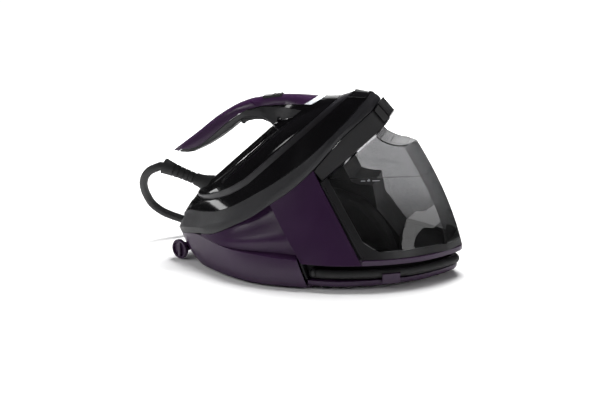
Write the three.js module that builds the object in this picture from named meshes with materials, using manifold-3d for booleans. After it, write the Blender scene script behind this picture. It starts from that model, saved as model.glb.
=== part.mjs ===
// Steam generator iron: a base with a boiler and a see-through water tank, an inclined platform,
// and a hand iron docked on it and joined to the base by a steam hose.
// Millimetres. +X runs from the heel, where the user stands, to the tank, +Z is up, -Y is the right side.
import * as THREE from "three";
import { mergeVertices } from "three/addons/utils/BufferGeometryUtils.js";
import Module from "manifold-3d";

const wasm = await Module();
wasm.setup();

// Driving sizes of the base
const bodyLength = 430;
const bodyWidth = 240;
const bodyHeight = 268;
const shellWall = 3.6; // measured along the inward direction of the housing
const seamGap = 0.4; // between two fixed shells
const stationPitch = 38; // mean distance between two stations of a rail
const seatGap = 0.3; // between a piece and what carries it
const overrun = 5; // how far a cutting solid reaches past what it cuts
const panFloor = 3; // underside of the base pan above the ground
const panWall = 3.4;
const rimTop = 14;
const rimWall = 3;
const grooveDepth = 21;
const trayBottom = 37.2;
const trayTop = 44.1;
const linerWall = 2.6;

// Driving sizes of the platform and the iron
const slopeRun = 0.55 * bodyLength; // the platform runs this far
const slopeRise = 0.80017 * bodyHeight; // and climbs this much meanwhile
const platformTilt = Math.atan2(slopeRise, slopeRun);
const ironLength = 0.899 * Math.hypot(slopeRun, slopeRise);
const ironWidth = 120;
const ironHeight = 110;
const ironWall = 2.6;
const ironClearance = 1;
const wellWall = 2;
const floorThickness = 2.6;
const matThickness = 3.6;
const skirtDepth = 10;
const soleplateThickness = 5;
const soleplateInset = 4;
const steamHoleDiameter = 3.4;
const chamberHeight = 17;
const chamberInset = 19.5;

// Driving sizes of the tank
const tankBottom = 44.5;
const tankWall = 2.6;
const tankBackWall = 3;
const tankSplitHeight = 0.56343 * bodyHeight;
const frameWidth = 11.5;
const frameBottomHeight = 9.5;
const frameCorner = 16;
const dockGap = 1.5; // between the tank's back and the housing
const lidClearance = 0.5;

// Driving sizes of the hose and the small parts
const hoseDiameter = 13;
const reliefLength = 54;
const reliefStartRadius = 8.9;
const reliefEndRadius = 12.6;
const reliefRibs = 4;
const knobDiameter = 30;
const knobThickness = 11;
const footDiameter = 18;
const boilerDiameter = 0.22326 * bodyLength;
const boilerHeight = 46;

const soleplateStation = 3.4; // where the soleplate's heel is cut, along the iron's outline
const soleplateTop = -skirtDepth - seatGap;
const soleplateBottom = soleplateTop - soleplateThickness;
const matTop = soleplateBottom - seatGap;
const wellDepth = -matTop + matThickness + seatGap; // top of the platform's floor below the seam plane

const V = (x, y, z) => new THREE.Vector3(x, y, z);
const cosTilt = Math.cos(platformTilt);
const sinTilt = Math.sin(platformTilt);

// The seam plane, where the iron's skirt meets the platform, passes through this point of the housing.
const seamPoint = V(-0.22182 * bodyLength, 0, 0.39252 * bodyHeight);

// A point given along the platform's slope, across it, and above its seam plane.
function platform(s, y, h) {
  return V(seamPoint.x + s * cosTilt - h * sinTilt, y, seamPoint.z + s * sinTilt + h * cosTilt);
}

// The platform's own coordinates of a point.
function onPlatform(p) {
  const x = p.x - seamPoint.x;
  const z = p.z - seamPoint.z;
  return V(x * cosTilt + z * sinTilt, p.y, -x * sinTilt + z * cosTilt);
}

// Solids

function solid(geometry) {
  const bare = geometry.clone();
  bare.deleteAttribute("normal");
  bare.deleteAttribute("uv");
  const merged = mergeVertices(bare);
  const build = (triVerts) =>
    new wasm.Manifold(
      new wasm.Mesh({ numProp: 3, vertProperties: merged.attributes.position.array, triVerts }),
    );
  const faces = new Uint32Array(merged.index.array);
  const made = build(faces);
  return made.volume() > 0 ? made : build(faces.slice().reverse());
}

const join = (first, ...rest) => rest.reduce((a, b) => a.add(b), first);
const cut = (first, ...rest) => rest.reduce((a, b) => a.subtract(b), first);
const both = (first, ...rest) => rest.reduce((a, b) => a.intersect(b), first);

// The largest body of a solid, without the crumbs that a boolean leaves at a seam.
function mainBody(made) {
  return made.decompose().sort((a, b) => b.volume() - a.volume())[0];
}

function geometryOf(made) {
  const { vertProperties, triVerts, numProp } = made.getMesh();
  const geometry = new THREE.BufferGeometry();
  const positions = new Float32Array((vertProperties.length / numProp) * 3);
  for (let i = 0; i < positions.length / 3; i++) {
    positions.set(vertProperties.subarray(i * numProp, i * numProp + 3), i * 3);
  }
  geometry.setAttribute("position", new THREE.BufferAttribute(positions, 3));
  geometry.setIndex(new THREE.BufferAttribute(new Uint32Array(triVerts), 1));
  const flat = geometry.toNonIndexed();
  flat.computeVertexNormals();
  return flat;
}

// A closed surface through rows of points; each row is one closed ring of the same count.
function loft(rings) {
  const count = rings[0].length;
  const points = rings.flat();
  const index = [];
  for (let r = 0; r + 1 < rings.length; r++) {
    for (let k = 0; k < count; k++) {
      const a = r * count + k;
      const b = r * count + ((k + 1) % count);
      index.push(a, b, b + count, a, b + count, a + count);
    }
  }
  for (const [ring, flip] of [[0, true], [rings.length - 1, false]]) {
    const middle = points.length;
    const centre = V(0, 0, 0);
    rings[ring].forEach((p) => centre.add(p));
    points.push(centre.divideScalar(count));
    for (let k = 0; k < count; k++) {
      const a = ring * count + k;
      const b = ring * count + ((k + 1) % count);
      index.push(...(flip ? [middle, b, a] : [middle, a, b]));
    }
  }
  return indexed(points, index);
}

// A wall between an outer and an inner grid of points, as a strip or as a closed loop.
function wallBetween(outer, inner, closed = false) {
  const rows = outer.length;
  const columns = outer[0].length;
  const points = [...outer.flat(), ...inner.flat()];
  const offset = rows * columns;
  const at = (r, c) => (r % rows) * columns + c;
  const index = [];
  const quad = (a, b, c, d) => index.push(a, b, c, a, c, d);
  for (let r = 0; r < (closed ? rows : rows - 1); r++) {
    for (let c = 0; c + 1 < columns; c++) {
      quad(at(r, c), at(r + 1, c), at(r + 1, c + 1), at(r, c + 1));
      quad(offset + at(r, c), offset + at(r, c + 1), offset + at(r + 1, c + 1), offset + at(r + 1, c));
    }
    quad(at(r, 0), offset + at(r, 0), offset + at(r + 1, 0), at(r + 1, 0));
    const last = columns - 1;
    quad(at(r, last), at(r + 1, last), offset + at(r + 1, last), offset + at(r, last));
  }
  if (!closed) {
    for (let c = 0; c + 1 < columns; c++) {
      quad(at(0, c), at(0, c + 1), offset + at(0, c + 1), offset + at(0, c));
      const end = rows - 1;
      quad(at(end, c), offset + at(end, c), offset + at(end, c + 1), at(end, c + 1));
    }
  }
  return indexed(points, index);
}

function indexed(points, index) {
  const geometry = new THREE.BufferGeometry().setFromPoints(points);
  geometry.setIndex(index);
  return solid(geometry);
}

const shapeOf = (points) => new THREE.Shape(points.map(([a, b]) => new THREE.Vector2(a, b)));

// An outline in plan, pulled up from one height to another.
function plate(points, low, high) {
  return loft([low, high].map((z) => points.map(([x, y]) => V(x, y, z))));
}

// An outline in side view, x and z, pulled across from one y to another.
function slab(points, y0, y1) {
  const geometry = new THREE.ExtrudeGeometry(shapeOf(points), { depth: y1 - y0, bevelEnabled: false });
  return solid(geometry.rotateX(Math.PI / 2).translate(0, y1, 0));
}

function box(x0, x1, y0, y1, z0, z1) {
  const geometry = new THREE.BoxGeometry(x1 - x0, y1 - y0, z1 - z0);
  return solid(geometry.translate((x0 + x1) / 2, (y0 + y1) / 2, (z0 + z1) / 2));
}

// A profile of [radius, height] turned about a direction that starts at a point.
function turned(profile, start, direction, sides = 24) {
  const geometry = new THREE.LatheGeometry(profile.map(([r, z]) => new THREE.Vector2(r, z)), sides);
  const turn = new THREE.Quaternion().setFromUnitVectors(V(0, 1, 0), direction.clone().normalize());
  return solid(geometry.applyQuaternion(turn).translate(start.x, start.y, start.z));
}

function rod(from, to, radius, sides = 20) {
  const length = from.distanceTo(to);
  return turned([[0, 0], [radius, 0], [radius, length], [0, length]], from, to.clone().sub(from), sides);
}

// A round tube through points, as one closed solid.
function tube(points, diameter, steps, sides = 10) {
  const section = new THREE.Shape();
  for (let k = 0; k < sides; k++) {
    const angle = (k / sides) * 2 * Math.PI;
    const place = [Math.cos(angle) * (diameter / 2), Math.sin(angle) * (diameter / 2)];
    if (k === 0) section.moveTo(...place);
    else section.lineTo(...place);
  }
  const extrudePath = new THREE.CatmullRomCurve3(points);
  return solid(new THREE.ExtrudeGeometry(section, { steps, extrudePath, bevelEnabled: false }));
}

// An outline moved inward by a distance, each corner along the mean of its two sides.
function inset(points, distance) {
  const area = points.reduce((sum, [x, y], k) => {
    const [nx, ny] = points[(k + 1) % points.length];
    return sum + x * ny - nx * y;
  }, 0);
  const side = Math.sign(area);
  return points.map(([x, y], k) => {
    const [px, py] = points[(k + points.length - 1) % points.length];
    const [nx, ny] = points[(k + 1) % points.length];
    const a = new THREE.Vector2(x - px, y - py).normalize();
    const b = new THREE.Vector2(nx - x, ny - y).normalize();
    const normal = new THREE.Vector2(-(a.y + b.y), a.x + b.x).normalize();
    const stretch = Math.min(2, 1 / Math.max(0.5, normal.dot(new THREE.Vector2(-a.y, a.x))));
    return [x + normal.x * side * distance * stretch, y + normal.y * side * distance * stretch];
  });
}

// The same for larger distances, without the corners that would cross over at a tight bend.
function shrink(points, distance) {
  const reach = (p, a, b) => {
    const side = new THREE.Vector2(b[0] - a[0], b[1] - a[1]);
    const to = new THREE.Vector2(p[0] - a[0], p[1] - a[1]);
    const t = THREE.MathUtils.clamp(to.dot(side) / side.lengthSq(), 0, 1);
    return to.addScaledVector(side, -t).length();
  };
  const clear = (p) => points.every((a, k) => reach(p, a, points[(k + 1) % points.length]) > distance * 0.97);
  return inset(points, distance).filter(clear);
}

const mix = (a, b, t) => a + (b - a) * t;
const range = (from, to, steps) => Array.from({ length: steps + 1 }, (_, k) => mix(from, to, k / steps));

// Rails: curves round the housing from the heel at station 0, along the right side, to the front.
// A negative station is the same place on the left side.

function rail(shares, scale, place = (x, y, z) => V(x, y, z)) {
  const right = shares.map(([a, b, c]) => place(a * scale.x, b * scale.y, c * scale.z));
  const left = right.slice(1, -1).reverse().map((p) => V(p.x, -p.y, p.z));
  const curve = new THREE.CatmullRomCurve3([...right, ...left], true);
  const count = right.length + left.length;
  return (i) => curve.getPoint((((i % count) + count) % count) / count);
}

const bodySize = V(bodyLength, bodyWidth, bodyHeight);
const ironSize = V(ironLength, ironWidth, ironHeight);

const baseEdgeShares = [
  [-0.367, 0, 0.015], [-0.333, -0.208, 0.015], [-0.26, -0.325, 0.015], [-0.177, -0.421, 0.015],
  [-0.093, -0.483, 0.015], [0, -0.5, 0.015], [0.086, -0.496, 0.015], [0.167, -0.475, 0.015],
  [0.26, -0.425, 0.015], [0.353, -0.346, 0.015], [0.447, -0.242, 0.015], [0.519, -0.108, 0.015],
  [0.542, 0, 0.015],
];
const hullSeamShares = [
  [-0.433, 0, 0.134], [-0.412, -0.104, 0.153], [-0.335, -0.233, 0.19], [-0.263, -0.342, 0.183],
  [-0.184, -0.429, 0.175], [-0.065, -0.483, 0.168], [0.051, -0.496, 0.157],
];
const bandLowerShares = [
  [-0.433, 0, 0.134], [-0.412, -0.104, 0.153], [-0.335, -0.233, 0.194], [-0.263, -0.325, 0.224],
  [-0.186, -0.379, 0.291], [-0.121, -0.392, 0.347], [-0.056, -0.379, 0.422], [0.009, -0.35, 0.496],
  [0.08, -0.3, 0.604], [0.158, -0.229, 0.757], [0.221, -0.158, 0.854], [0.263, -0.1, 0.918],
  [0.274, 0, 0.948],
];
const bandUpperShares = [
  [-0.426, 0, 0.246], [-0.391, -0.075, 0.282], [-0.337, -0.167, 0.304], [-0.263, -0.267, 0.336],
  [-0.188, -0.333, 0.392], [-0.105, -0.358, 0.474], [-0.035, -0.354, 0.545], [0.019, -0.333, 0.608],
  [0.074, -0.296, 0.683], [0.135, -0.233, 0.78], [0.188, -0.158, 0.869], [0.235, -0.083, 0.963],
  [0.247, 0, 0.989],
];
const trayEdgeShares = [
  [-0.45, 0], [-0.38, -0.22], [-0.3, -0.34], [-0.2, -0.43], [-0.1, -0.48], [0, -0.492], [0.062, -0.488],
  [0.167, -0.487], [0.26, -0.446], [0.349, -0.383], [0.442, -0.283], [0.526, -0.125], [0.565, 0],
].map(([a, b]) => [a, b, 0]);
// Along the iron, across it and above the seam plane: the skirt's lower edge, level from the middle to
// the toe and swept up round the heel.
const ironEdgeShares = [
  [-0.178, 0, 0.345], [-0.171, -0.117, 0.309], [-0.132, -0.258, 0.227], [-0.059, -0.4, 0.136],
  [0.028, -0.479, 0.055], [0.139, -0.5, 0], [0.244, -0.5, 0], [0.366, -0.492, 0], [0.488, -0.45, 0],
  [0.599, -0.383, 0], [0.7, -0.283, 0], [0.787, -0.133, 0], [0.822, 0, 0],
];
const frontStation = baseEdgeShares.length - 1;
const panelStation = 6; // where the side panel starts
const tankStation = 8; // where the tank starts
const rimStation = 4; // where the pan's rim and the tray start, inside the hull
const strakeStation = 2.25; // where the upper hull starts, at the heel
const consoleStation = 1.9; // how far the control panel reaches round the heel

const baseEdge = rail(baseEdgeShares, bodySize);
const bandLower = rail(bandLowerShares, bodySize);
const bandUpper = rail(bandUpperShares, bodySize);
const trayEdge = rail(trayEdgeShares, bodySize);
const ironEdge = rail(ironEdgeShares, ironSize);
const hullSeamCurve = new THREE.CatmullRomCurve3(
  hullSeamShares.map(([a, b, c]) => V(a, b, c).multiply(bodySize)),
);
const mirrored = (p) => V(p.x, -p.y, p.z);

function hullSeam(i) {
  const p = hullSeamCurve.getPoint(Math.min(1, Math.abs(i) / (hullSeamShares.length - 1)));
  return i < 0 ? mirrored(p) : p;
}

// The inward direction at a point of the housing: towards a line that rises inside it.
const spineStart = V(-0.23 * bodyLength, 0, 0.15 * bodyHeight);
const spineEnd = V(0.21 * bodyLength, 0, 0.67 * bodyHeight);
const spine = new THREE.Line3(spineStart, spineEnd);

function inward(p) {
  return spine.closestPointToPoint(p, true, V(0, 0, 0)).sub(p).normalize();
}

function thicken(grid, closed = false, wall = shellWall) {
  return wallBetween(
    grid,
    grid.map((row) => row.map((p) => p.clone().addScaledVector(inward(p), wall))),
    closed,
  );
}

// Points from one rail to another, stopping short of both by the seam gap, bowed outward in the middle.
function ribs(low, high, stations, columns, bow = 0, shift = () => 0) {
  return stations.map((i) => {
    const from = low(i);
    const to = high(i);
    const margin = Math.min(0.2, (seamGap * 0.6) / from.distanceTo(to));
    return range(margin, 1 - margin, columns).map((t) => {
      const p = from.clone().lerp(to, t);
      return p.addScaledVector(inward(p), shift(i, t) - bow * 4 * t * (1 - t));
    });
  });
}

const stationGap = seamGap / 2 / stationPitch;

// An outline in plan from a rail, all round, moved inward by a distance.
function planOutline(curve, distance, from = 0, steps = 28) {
  const right = range(from, frontStation, steps).map((i) => curve(i)).map((p) => [p.x, p.y]);
  const left = right.slice(from === 0 ? 1 : 0, -1).reverse().map(([x, y]) => [x, -y]);
  return inset([...right, ...left], distance);
}

// An outline of the iron in its own plan, moved outward by a distance; heel is where it is cut off.
function ironOutline(distance, from = 0, steps = 22) {
  const right = range(from, frontStation, steps).map((i) => ironEdge(i)).map((p) => [p.x, p.y]);
  const left = right.slice(from === 0 ? 1 : 0, -1).reverse().map(([x, y]) => [x, -y]);
  const outline = [...right, ...left];
  return distance < -overrun ? shrink(outline, -distance) : inset(outline, -distance);
}

const group = new THREE.Group();
const ironGroup = new THREE.Group();
ironGroup.rotation.y = -platformTilt;
ironGroup.position.copy(platform(0, 0, 0));
group.add(ironGroup);

const finishes = {
  purple: { color: 0x3b1d42, roughness: 0.38, metalness: 0.1 },
  matteDark: { color: 0x242428, roughness: 0.6, metalness: 0 },
  gloss: { color: 0x0b0b0d, roughness: 0.12, metalness: 0 },
  black: { color: 0x141416, roughness: 0.5, metalness: 0 },
  rubber: { color: 0x19191b, roughness: 0.8, metalness: 0 },
  smoked: { color: 0x55585a, roughness: 0.08, metalness: 0, transparent: true, opacity: 0.45 },
  light: { color: 0xf4f6f8, roughness: 0.3, metalness: 0 },
  aluminium: { color: 0xb8bbc0, roughness: 0.35, metalness: 0.9 },
  steel: { color: 0xc6c8ca, roughness: 0.25, metalness: 1 },
  brass: { color: 0xb08d4a, roughness: 0.3, metalness: 1 },
  copper: { color: 0xb46a48, roughness: 0.35, metalness: 1 },
  board: { color: 0x1f5a36, roughness: 0.55, metalness: 0 },
  silicone: { color: 0x3a3a3e, roughness: 0.75, metalness: 0 },
};

function add(name, made, finish, parent = group) {
  const mesh = new THREE.Mesh(geometryOf(mainBody(made)), new THREE.MeshStandardMaterial(finishes[finish]));
  mesh.name = name;
  parent.add(mesh);
}

// Lower housing

// The rim of the pan below the groove: how far it draws in and rises towards the tank's end.
const rimDraw = 6;
const rimLift = 2.4;
const rimStart = 6;
const panDraw = 12; // how far the underside is drawn in from the rim
const panLevelShares = [[1, 0], [0.383, 0.2], [0.067, 0.42], [0, 0.6], [0, 1]]; // of the draw, of the height

function makePan() {
  const stations = range(rimStation, 2 * frontStation - rimStation, 40);
  const front = (i) => THREE.MathUtils.smoothstep(Math.min(i, 2 * frontStation - i), rimStart, frontStation);
  const ringAt = ([draw, share], k) => {
    const plan = stations.map((i) => trayEdge(i)).map((p) => [p.x, p.y]);
    const near = inset(plan, draw * panDraw);
    const far = inset(plan, draw * panDraw + rimDraw);
    return stations.map((i, n) => {
      const t = front(i);
      const z = mix(panFloor, rimTop, share) + (k === 0 ? 0 : rimLift * t * Math.min(1, share * 2) * 0.6);
      return V(mix(near[n][0], far[n][0], t), mix(near[n][1], far[n][1], t), z);
    });
  };
  const outline = planOutline(trayEdge, 0, rimStation);
  const underGroove = plate(shrink(outline, rimDraw * 2), panFloor + panWall, rimTop - rimWall);
  const inside = plate(shrink(outline, grooveDepth), rimTop - rimWall - seatGap, rimTop + overrun);
  const hullX = baseEdge(panelStation).x;
  const rimOnly = box(hullX, bodyLength, -bodyWidth, bodyWidth, -overrun, bodyHeight);
  const rim = both(cut(loft(panLevelShares.map(ringAt)), underGroove, inside), rimOnly);
  const floor = plate(planOutline(baseEdge, shellWall * 1.4), panFloor, panFloor + panWall);
  return join(rim, both(floor, box(-bodyLength, hullX + overrun, -bodyWidth, bodyWidth, 0, rimTop)));
}

function hullEdgeX(z) {
  const top = hullSeam(panelStation);
  const bottom = baseEdge(panelStation);
  return mix(bottom.x, top.x, (z - bottom.z) / (top.z - bottom.z));
}

function makeLiner() {
  const low = panFloor + panWall + seatGap;
  const high = trayBottom - seatGap;
  const outline = planOutline(trayEdge, 0, rimStation);
  const wallAt = shrink(outline, grooveDepth + seatGap);
  const lip = plate(planOutline(trayEdge, rimWall + seamGap, rimStation), rimTop + seatGap, high);
  const ends = slab(
    [
      [hullEdgeX(rimTop) + seamGap, rimTop],
      [hullEdgeX(rimTop) + seamGap + linerWall, rimTop],
      [hullEdgeX(high) + seamGap + linerWall, high],
      [hullEdgeX(high) + seamGap, high],
    ],
    -bodyWidth,
    bodyWidth,
  );
  const behindEnds = slab(
    [
      [hullEdgeX(low) + seamGap, low],
      [bodyLength, low],
      [bodyLength, high],
      [hullEdgeX(high) + seamGap, high],
    ],
    -bodyWidth,
    bodyWidth,
  );
  const hollow = plate(shrink(outline, grooveDepth + seatGap + linerWall), low - overrun, high + overrun);
  return both(cut(join(plate(wallAt, low, high), both(lip, ends)), hollow), behindEnds);
}

function makeTray() {
  const full = plate(planOutline(trayEdge, 0, rimStation), trayBottom, trayTop);
  const behindPanels = plate(planOutline(trayEdge, shellWall * 2, rimStation), trayBottom, trayTop);
  const corner = trayEdge(tankStation).x;
  const front = both(full, box(corner + seamGap, bodyLength, -bodyWidth, bodyWidth, 0, bodyHeight));
  const back = both(
    behindPanels,
    box(trayEdge(panelStation).x, corner + overrun, -bodyWidth, bodyWidth, 0, bodyHeight),
  );
  return join(front, back);
}

const hullBow = 3; // how far the lower hull swells between its edges
const panelBow = 2; // the same for a side panel
const chamferBow = 1; // and for the glossy chamfer

const lowerHullGrid = ribs(
  baseEdge,
  (i) => (Math.abs(i) < 2 ? bandLower(i) : hullSeam(i)),
  range(-panelStation + stationGap, panelStation - stationGap, 28),
  4,
  hullBow,
);

// How far the upper hull's side is drawn in below the platform, to leave a scoop before the side panel.
const scoopDepth = 15;
const scoopStart = 3.1;

function scoop(i, t) {
  const along = THREE.MathUtils.smoothstep(Math.abs(i), scoopStart, panelStation - 0.35);
  const profile = [0.8, 0.7, 0.45, 0.3, 0.45, 0.7, 0.9, 0.95, 1];
  const k = Math.min(profile.length - 2, Math.floor(t * (profile.length - 1)));
  return scoopDepth * along * mix(profile[k], profile[k + 1], t * (profile.length - 1) - k);
}

// The shelf that closes the lower hull under the scoop.
function ledge(side) {
  const stations = range(scoopStart - 0.4, panelStation - stationGap, 12).map((i) => i * side);
  return loft(
    stations.map((i) => {
      const edge = hullSeam(i);
      const draw = inward(edge);
      const outer = edge.clone().addScaledVector(draw, seamGap).setZ(edge.z - seamGap * 1.5);
      const inner = edge.clone().addScaledVector(draw, scoop(i, 0) + shellWall * 1.6);
      inner.z -= seamGap * 1.5;
      const down = V(0, 0, -shellWall * 0.8);
      const ring = [outer, inner, inner.clone().add(down), outer.clone().add(down)];
      return side > 0 ? ring : ring.reverse();
    }),
  );
}

function upperHull(side) {
  const stations = range(strakeStation, panelStation - stationGap, 14).map((i) => i * side);
  const behindBand = (i) => {
    const p = bandLower(i);
    return p.setZ(p.z + Math.max(0, scoop(i, 1) - shellWall * 1.7) * 0.6);
  };
  return thicken(ribs(hullSeam, behindBand, stations, 8, 0, scoop));
}

function panelFoot(i) {
  const p = trayEdge(i);
  return V(p.x, p.y, trayBottom);
}

function sidePanel(side) {
  const stations = range(panelStation + stationGap, tankStation - stationGap, 10).map((i) => i * side);
  return thicken(ribs(panelFoot, bandLower, stations, 6, panelBow));
}

// Platform ring: a matte band, a glossy chamfer above it and the control panel at the heel

const bandBulge = 6;

function bandGrid() {
  const stations = range(0, 2 * frontStation, 56).slice(0, -1);
  return ribs(bandLower, bandUpper, stations, 4, 0, (i, t) => {
    const place = Math.abs(((i + frontStation) % (2 * frontStation)) - frontStation);
    const heel = mix(1, 0.25, Math.min(1, place / 5));
    return -bandBulge * heel * Math.sin(Math.PI * Math.min(1, t * 1.6)) * (t < 0.625 ? 1 : 0);
  });
}

function outwardEdge(i, distance) {
  const step = 0.05;
  const before = ironEdge(i - step);
  const after = ironEdge(i + step);
  const p = ironEdge(i);
  const along = V(after.x - before.x, after.y - before.y, 0).normalize();
  return V(p.x + along.y * distance, p.y - along.x * distance, p.z);
}

const lipOffset = ironClearance + wellWall + seamGap;
const chamferEdge = (i) => {
  const p = outwardEdge(i, lipOffset);
  return platform(p.x, p.y, p.z);
};

const wellKeepOut = (() => {
  const outline = ironOutline(lipOffset);
  const low = -wellDepth - floorThickness - seatGap;
  const points = (h) => outline.map(([s, y]) => platform(s, y, h));
  return loft([points(low), points(ironHeight)]);
})();

function makeChamfer() {
  const stations = range(consoleStation + stationGap, 2 * frontStation - consoleStation - stationGap, 38);
  return cut(thicken(ribs(bandUpper, chamferEdge, stations, 2, chamferBow)), wellKeepOut);
}

function makeConsole() {
  const stations = range(-consoleStation, consoleStation, 10);
  return cut(thicken(ribs(bandUpper, chamferEdge, stations, 2, chamferBow)), wellKeepOut);
}

function makeFloor() {
  const outer = [];
  const inner = [];
  for (const i of range(0, 2 * frontStation, 36).slice(0, -1)) {
    const far = outwardEdge(i, ironClearance + wellWall);
    const near = outwardEdge(i, ironClearance);
    const heights = [-wellDepth - floorThickness / 2, mix(-wellDepth, far.z, 0.5), far.z - seamGap];
    outer.push(heights.map((h) => platform(far.x, far.y, h)));
    inner.push(heights.map((h) => platform(near.x, near.y, h)));
  }
  const outline = ironOutline(ironClearance + wellWall);
  const ring = (h) => outline.map(([s, y]) => platform(s, y, h));
  const floor = loft([ring(-wellDepth - floorThickness), ring(-wellDepth)]);
  return join(floor, wallBetween(outer, inner, true));
}

function makeMat() {
  const outline = ironOutline(-soleplateInset * 2, soleplateStation);
  const ring = (h) => outline.map(([s, y]) => platform(s, y, h));
  return loft([ring(-wellDepth + seatGap), ring(matTop)]);
}

// Neck: the housing under the platform's toe, and the block that closes the toe

const tankHeelTop = V(0.1084 * bodyLength, 0, 0.5354 * bodyHeight); // where the tank's back meets the neck
const neckLift = 2.5; // underside of the neck above that point, square to the slope
const neckDrop = -onPlatform(tankHeelTop).z - neckLift; // and below the seam plane

const neckReach = 12.5; // from the band's toe back to the end of the neck
const bandToe = onPlatform(bandLower(frontStation));
const neckEnd = bandToe.x - neckReach;
const capGap = 0.8; // top of the block below the band's lower edge at the toe
const capHeight = 28.4; // bottom of the block below that edge
const capSlant = 4.4; // how far its top falls towards the platform
const capHalfWidth = 27;
const capRound = 2.4;

function neckRing(i, grow, lift) {
  const top = onPlatform(bandLower(i));
  const low = -neckDrop - grow + lift;
  const high = top.z - seamGap * 5 + (lift > 0 ? overrun * 2 : 0);
  const halfTop = -top.y - shellWall * 0.4 + grow;
  const halfLow = halfTop * 1.03;
  const s = Math.min(top.x, neckEnd + grow);
  return [
    platform(s, -halfLow, low),
    platform(s, halfLow, low),
    platform(s, halfTop, high),
    platform(s, -halfTop, high),
  ];
}

function makeNeck() {
  const stations = range(tankStation + stationGap, frontStation - 1, 8);
  const outer = loft(stations.map((i) => neckRing(i, 0, 0)));
  const hollowStations = range(tankStation - 1, frontStation - 1, 8);
  const hollow = loft(hollowStations.map((i) => neckRing(i, -shellWall * 0.8, shellWall * 0.1)));
  return cut(outer, hollow);
}

function makeNoseCap() {
  const near = neckEnd + seatGap;
  const far = bandToe.x - seamGap;
  const top = bandToe.z - capGap;
  const bottom = bandToe.z - capHeight;
  const outline = [
    [far, top], [far, bottom + capRound], [far - capRound, bottom], [near, bottom], [near, top - capSlant],
  ];
  const ring = (y, draw) => inset(outline, draw).map(([s, h]) => platform(s, y, h));
  const edge = capRound / 2;
  const flank = capHalfWidth - edge;
  return loft([ring(-capHalfWidth, edge), ring(-flank, 0), ring(flank, 0), ring(capHalfWidth, edge)]);
}

// Tank: an outline in plan at three heights, bent through all heights between

const tankLevelShares = [0.166, 0.466, 0.784];
const tankOutlineShares = [
  [[0.14, -0.488], [0.26, -0.433], [0.349, -0.375], [0.43, -0.285], [0.488, -0.193], [0.526, -0.132]],
  [[0.023, -0.388], [0.137, -0.342], [0.233, -0.302], [0.321, -0.246], [0.395, -0.183], [0.456, -0.13]],
  [[-0.047, -0.271], [0.007, -0.246], [0.093, -0.213], [0.198, -0.179], [0.27, -0.148], [0.337, -0.12]],
];
const tankEndShares = [
  [[0.547, -0.066], [0.565, 0]],
  [[0.478, -0.065], [0.495, 0]],
  [[0.36, -0.06], [0.379, 0]],
];

function throughLevels(values, z) {
  const levels = tankLevelShares.map((share) => share * bodyHeight);
  return values.reduce((sum, value, k) => {
    const others = levels.filter((_, m) => m !== k);
    return sum + others.reduce((w, level) => (w * (z - level)) / (levels[k] - level), value);
  }, 0);
}

function tankRing(z, distance) {
  const sideAt = (t) => {
    const rows = tankOutlineShares.map((row) => {
      const line = new THREE.CatmullRomCurve3(row.map(([a, b]) => V(a * bodyLength, b * bodyWidth, 0)));
      return line.getPoint(t);
    });
    return [throughLevels(rows.map((p) => p.x), z), throughLevels(rows.map((p) => p.y), z)];
  };
  const end = [0, 1].map((k) => [
    throughLevels(tankEndShares.map((row) => row[k][0] * bodyLength), z),
    throughLevels(tankEndShares.map((row) => row[k][1] * bodyWidth), z),
  ]);
  const right = [...range(0, 1, 9).map(sideAt), ...end];
  const left = right.slice(0, -1).reverse().map(([x, y]) => [x, -y]);
  return inset([...right, ...left], distance).map(([x, y]) => V(x, y, z));
}

function tankForm(distance) {
  return loft(range(tankBottom - overrun, bodyHeight * 0.82, 10).map((z) => tankRing(z, distance)));
}

// Side view of the tank: the slanted back, the underside of the neck and the dished top.
const tankHeelBottom = V(0.2593 * bodyLength, 0, tankBottom);
const topDishShares = [
  [0.288, 0.757], [0.307, 0.743], [0.326, 0.733], [0.344, 0.728], [0.372, 0.727], [0.4, 0.735],
];

// Where a line from a point along a direction meets another such line, in side view.
function crossing(p, along, q, alongQ) {
  const turn = along.x * alongQ.y - along.y * alongQ.x;
  const t = ((q.x - p.x) * alongQ.y - (q.y - p.y) * alongQ.x) / turn;
  return [p.x + along.x * t, p.y + along.y * t];
}

const flat = (p) => new THREE.Vector2(p.x, p.z);
const backRise = flat(tankHeelTop).sub(flat(tankHeelBottom)).normalize();
const backNormal = new THREE.Vector2(backRise.y, -backRise.x);
const neckRise = new THREE.Vector2(cosTilt, sinTilt);
const level = new THREE.Vector2(1, 0);

// The tank's side view with its back line moved in by one distance, its neck plane down by a second,
// its dished top down by a third and its bottom up by a fourth.
function tankProfile(back, neck, dish, bottom) {
  const backPoint = flat(tankHeelBottom).addScaledVector(backNormal, back);
  const neckPoint = flat(platform(0, 0, -neckDrop - neck));
  const lowPoint = new THREE.Vector2(0, tankBottom + bottom);
  const [dishX, dishZ] = [topDishShares[0][0] * bodyLength, topDishShares[0][1] * bodyHeight - dish];
  const slant = new THREE.Vector2(-1, 1);
  return [
    crossing(backPoint, backRise, lowPoint, level),
    crossing(backPoint, backRise, neckPoint, neckRise),
    crossing(neckPoint, neckRise, new THREE.Vector2(dishX, dishZ), slant),
    ...topDishShares.map(([x, z]) => [x * bodyLength, z * bodyHeight - dish]),
    [bodyLength, topDishShares[0][1] * bodyHeight - dish],
    [bodyLength, tankBottom + bottom],
  ];
}

const across = (points, half = bodyWidth) => slab(points, -half, half);

// The block of the housing that reaches into the tank, in side view, its top along the neck's underside.
const coreShares = [
  [0.1985, 0.527], [0.225, 0.515], [0.269, 0.514], [0.286, 0.385], [0.3225, 0.3195], [0.363, 0.24],
  [0.363, 0.166], [0.05, 0.166],
];
const coreTopShares = [0.05, 0.165];
const coreHalfWidth = 0.19167 * bodyWidth;
const neckSeat = 1;

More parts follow.
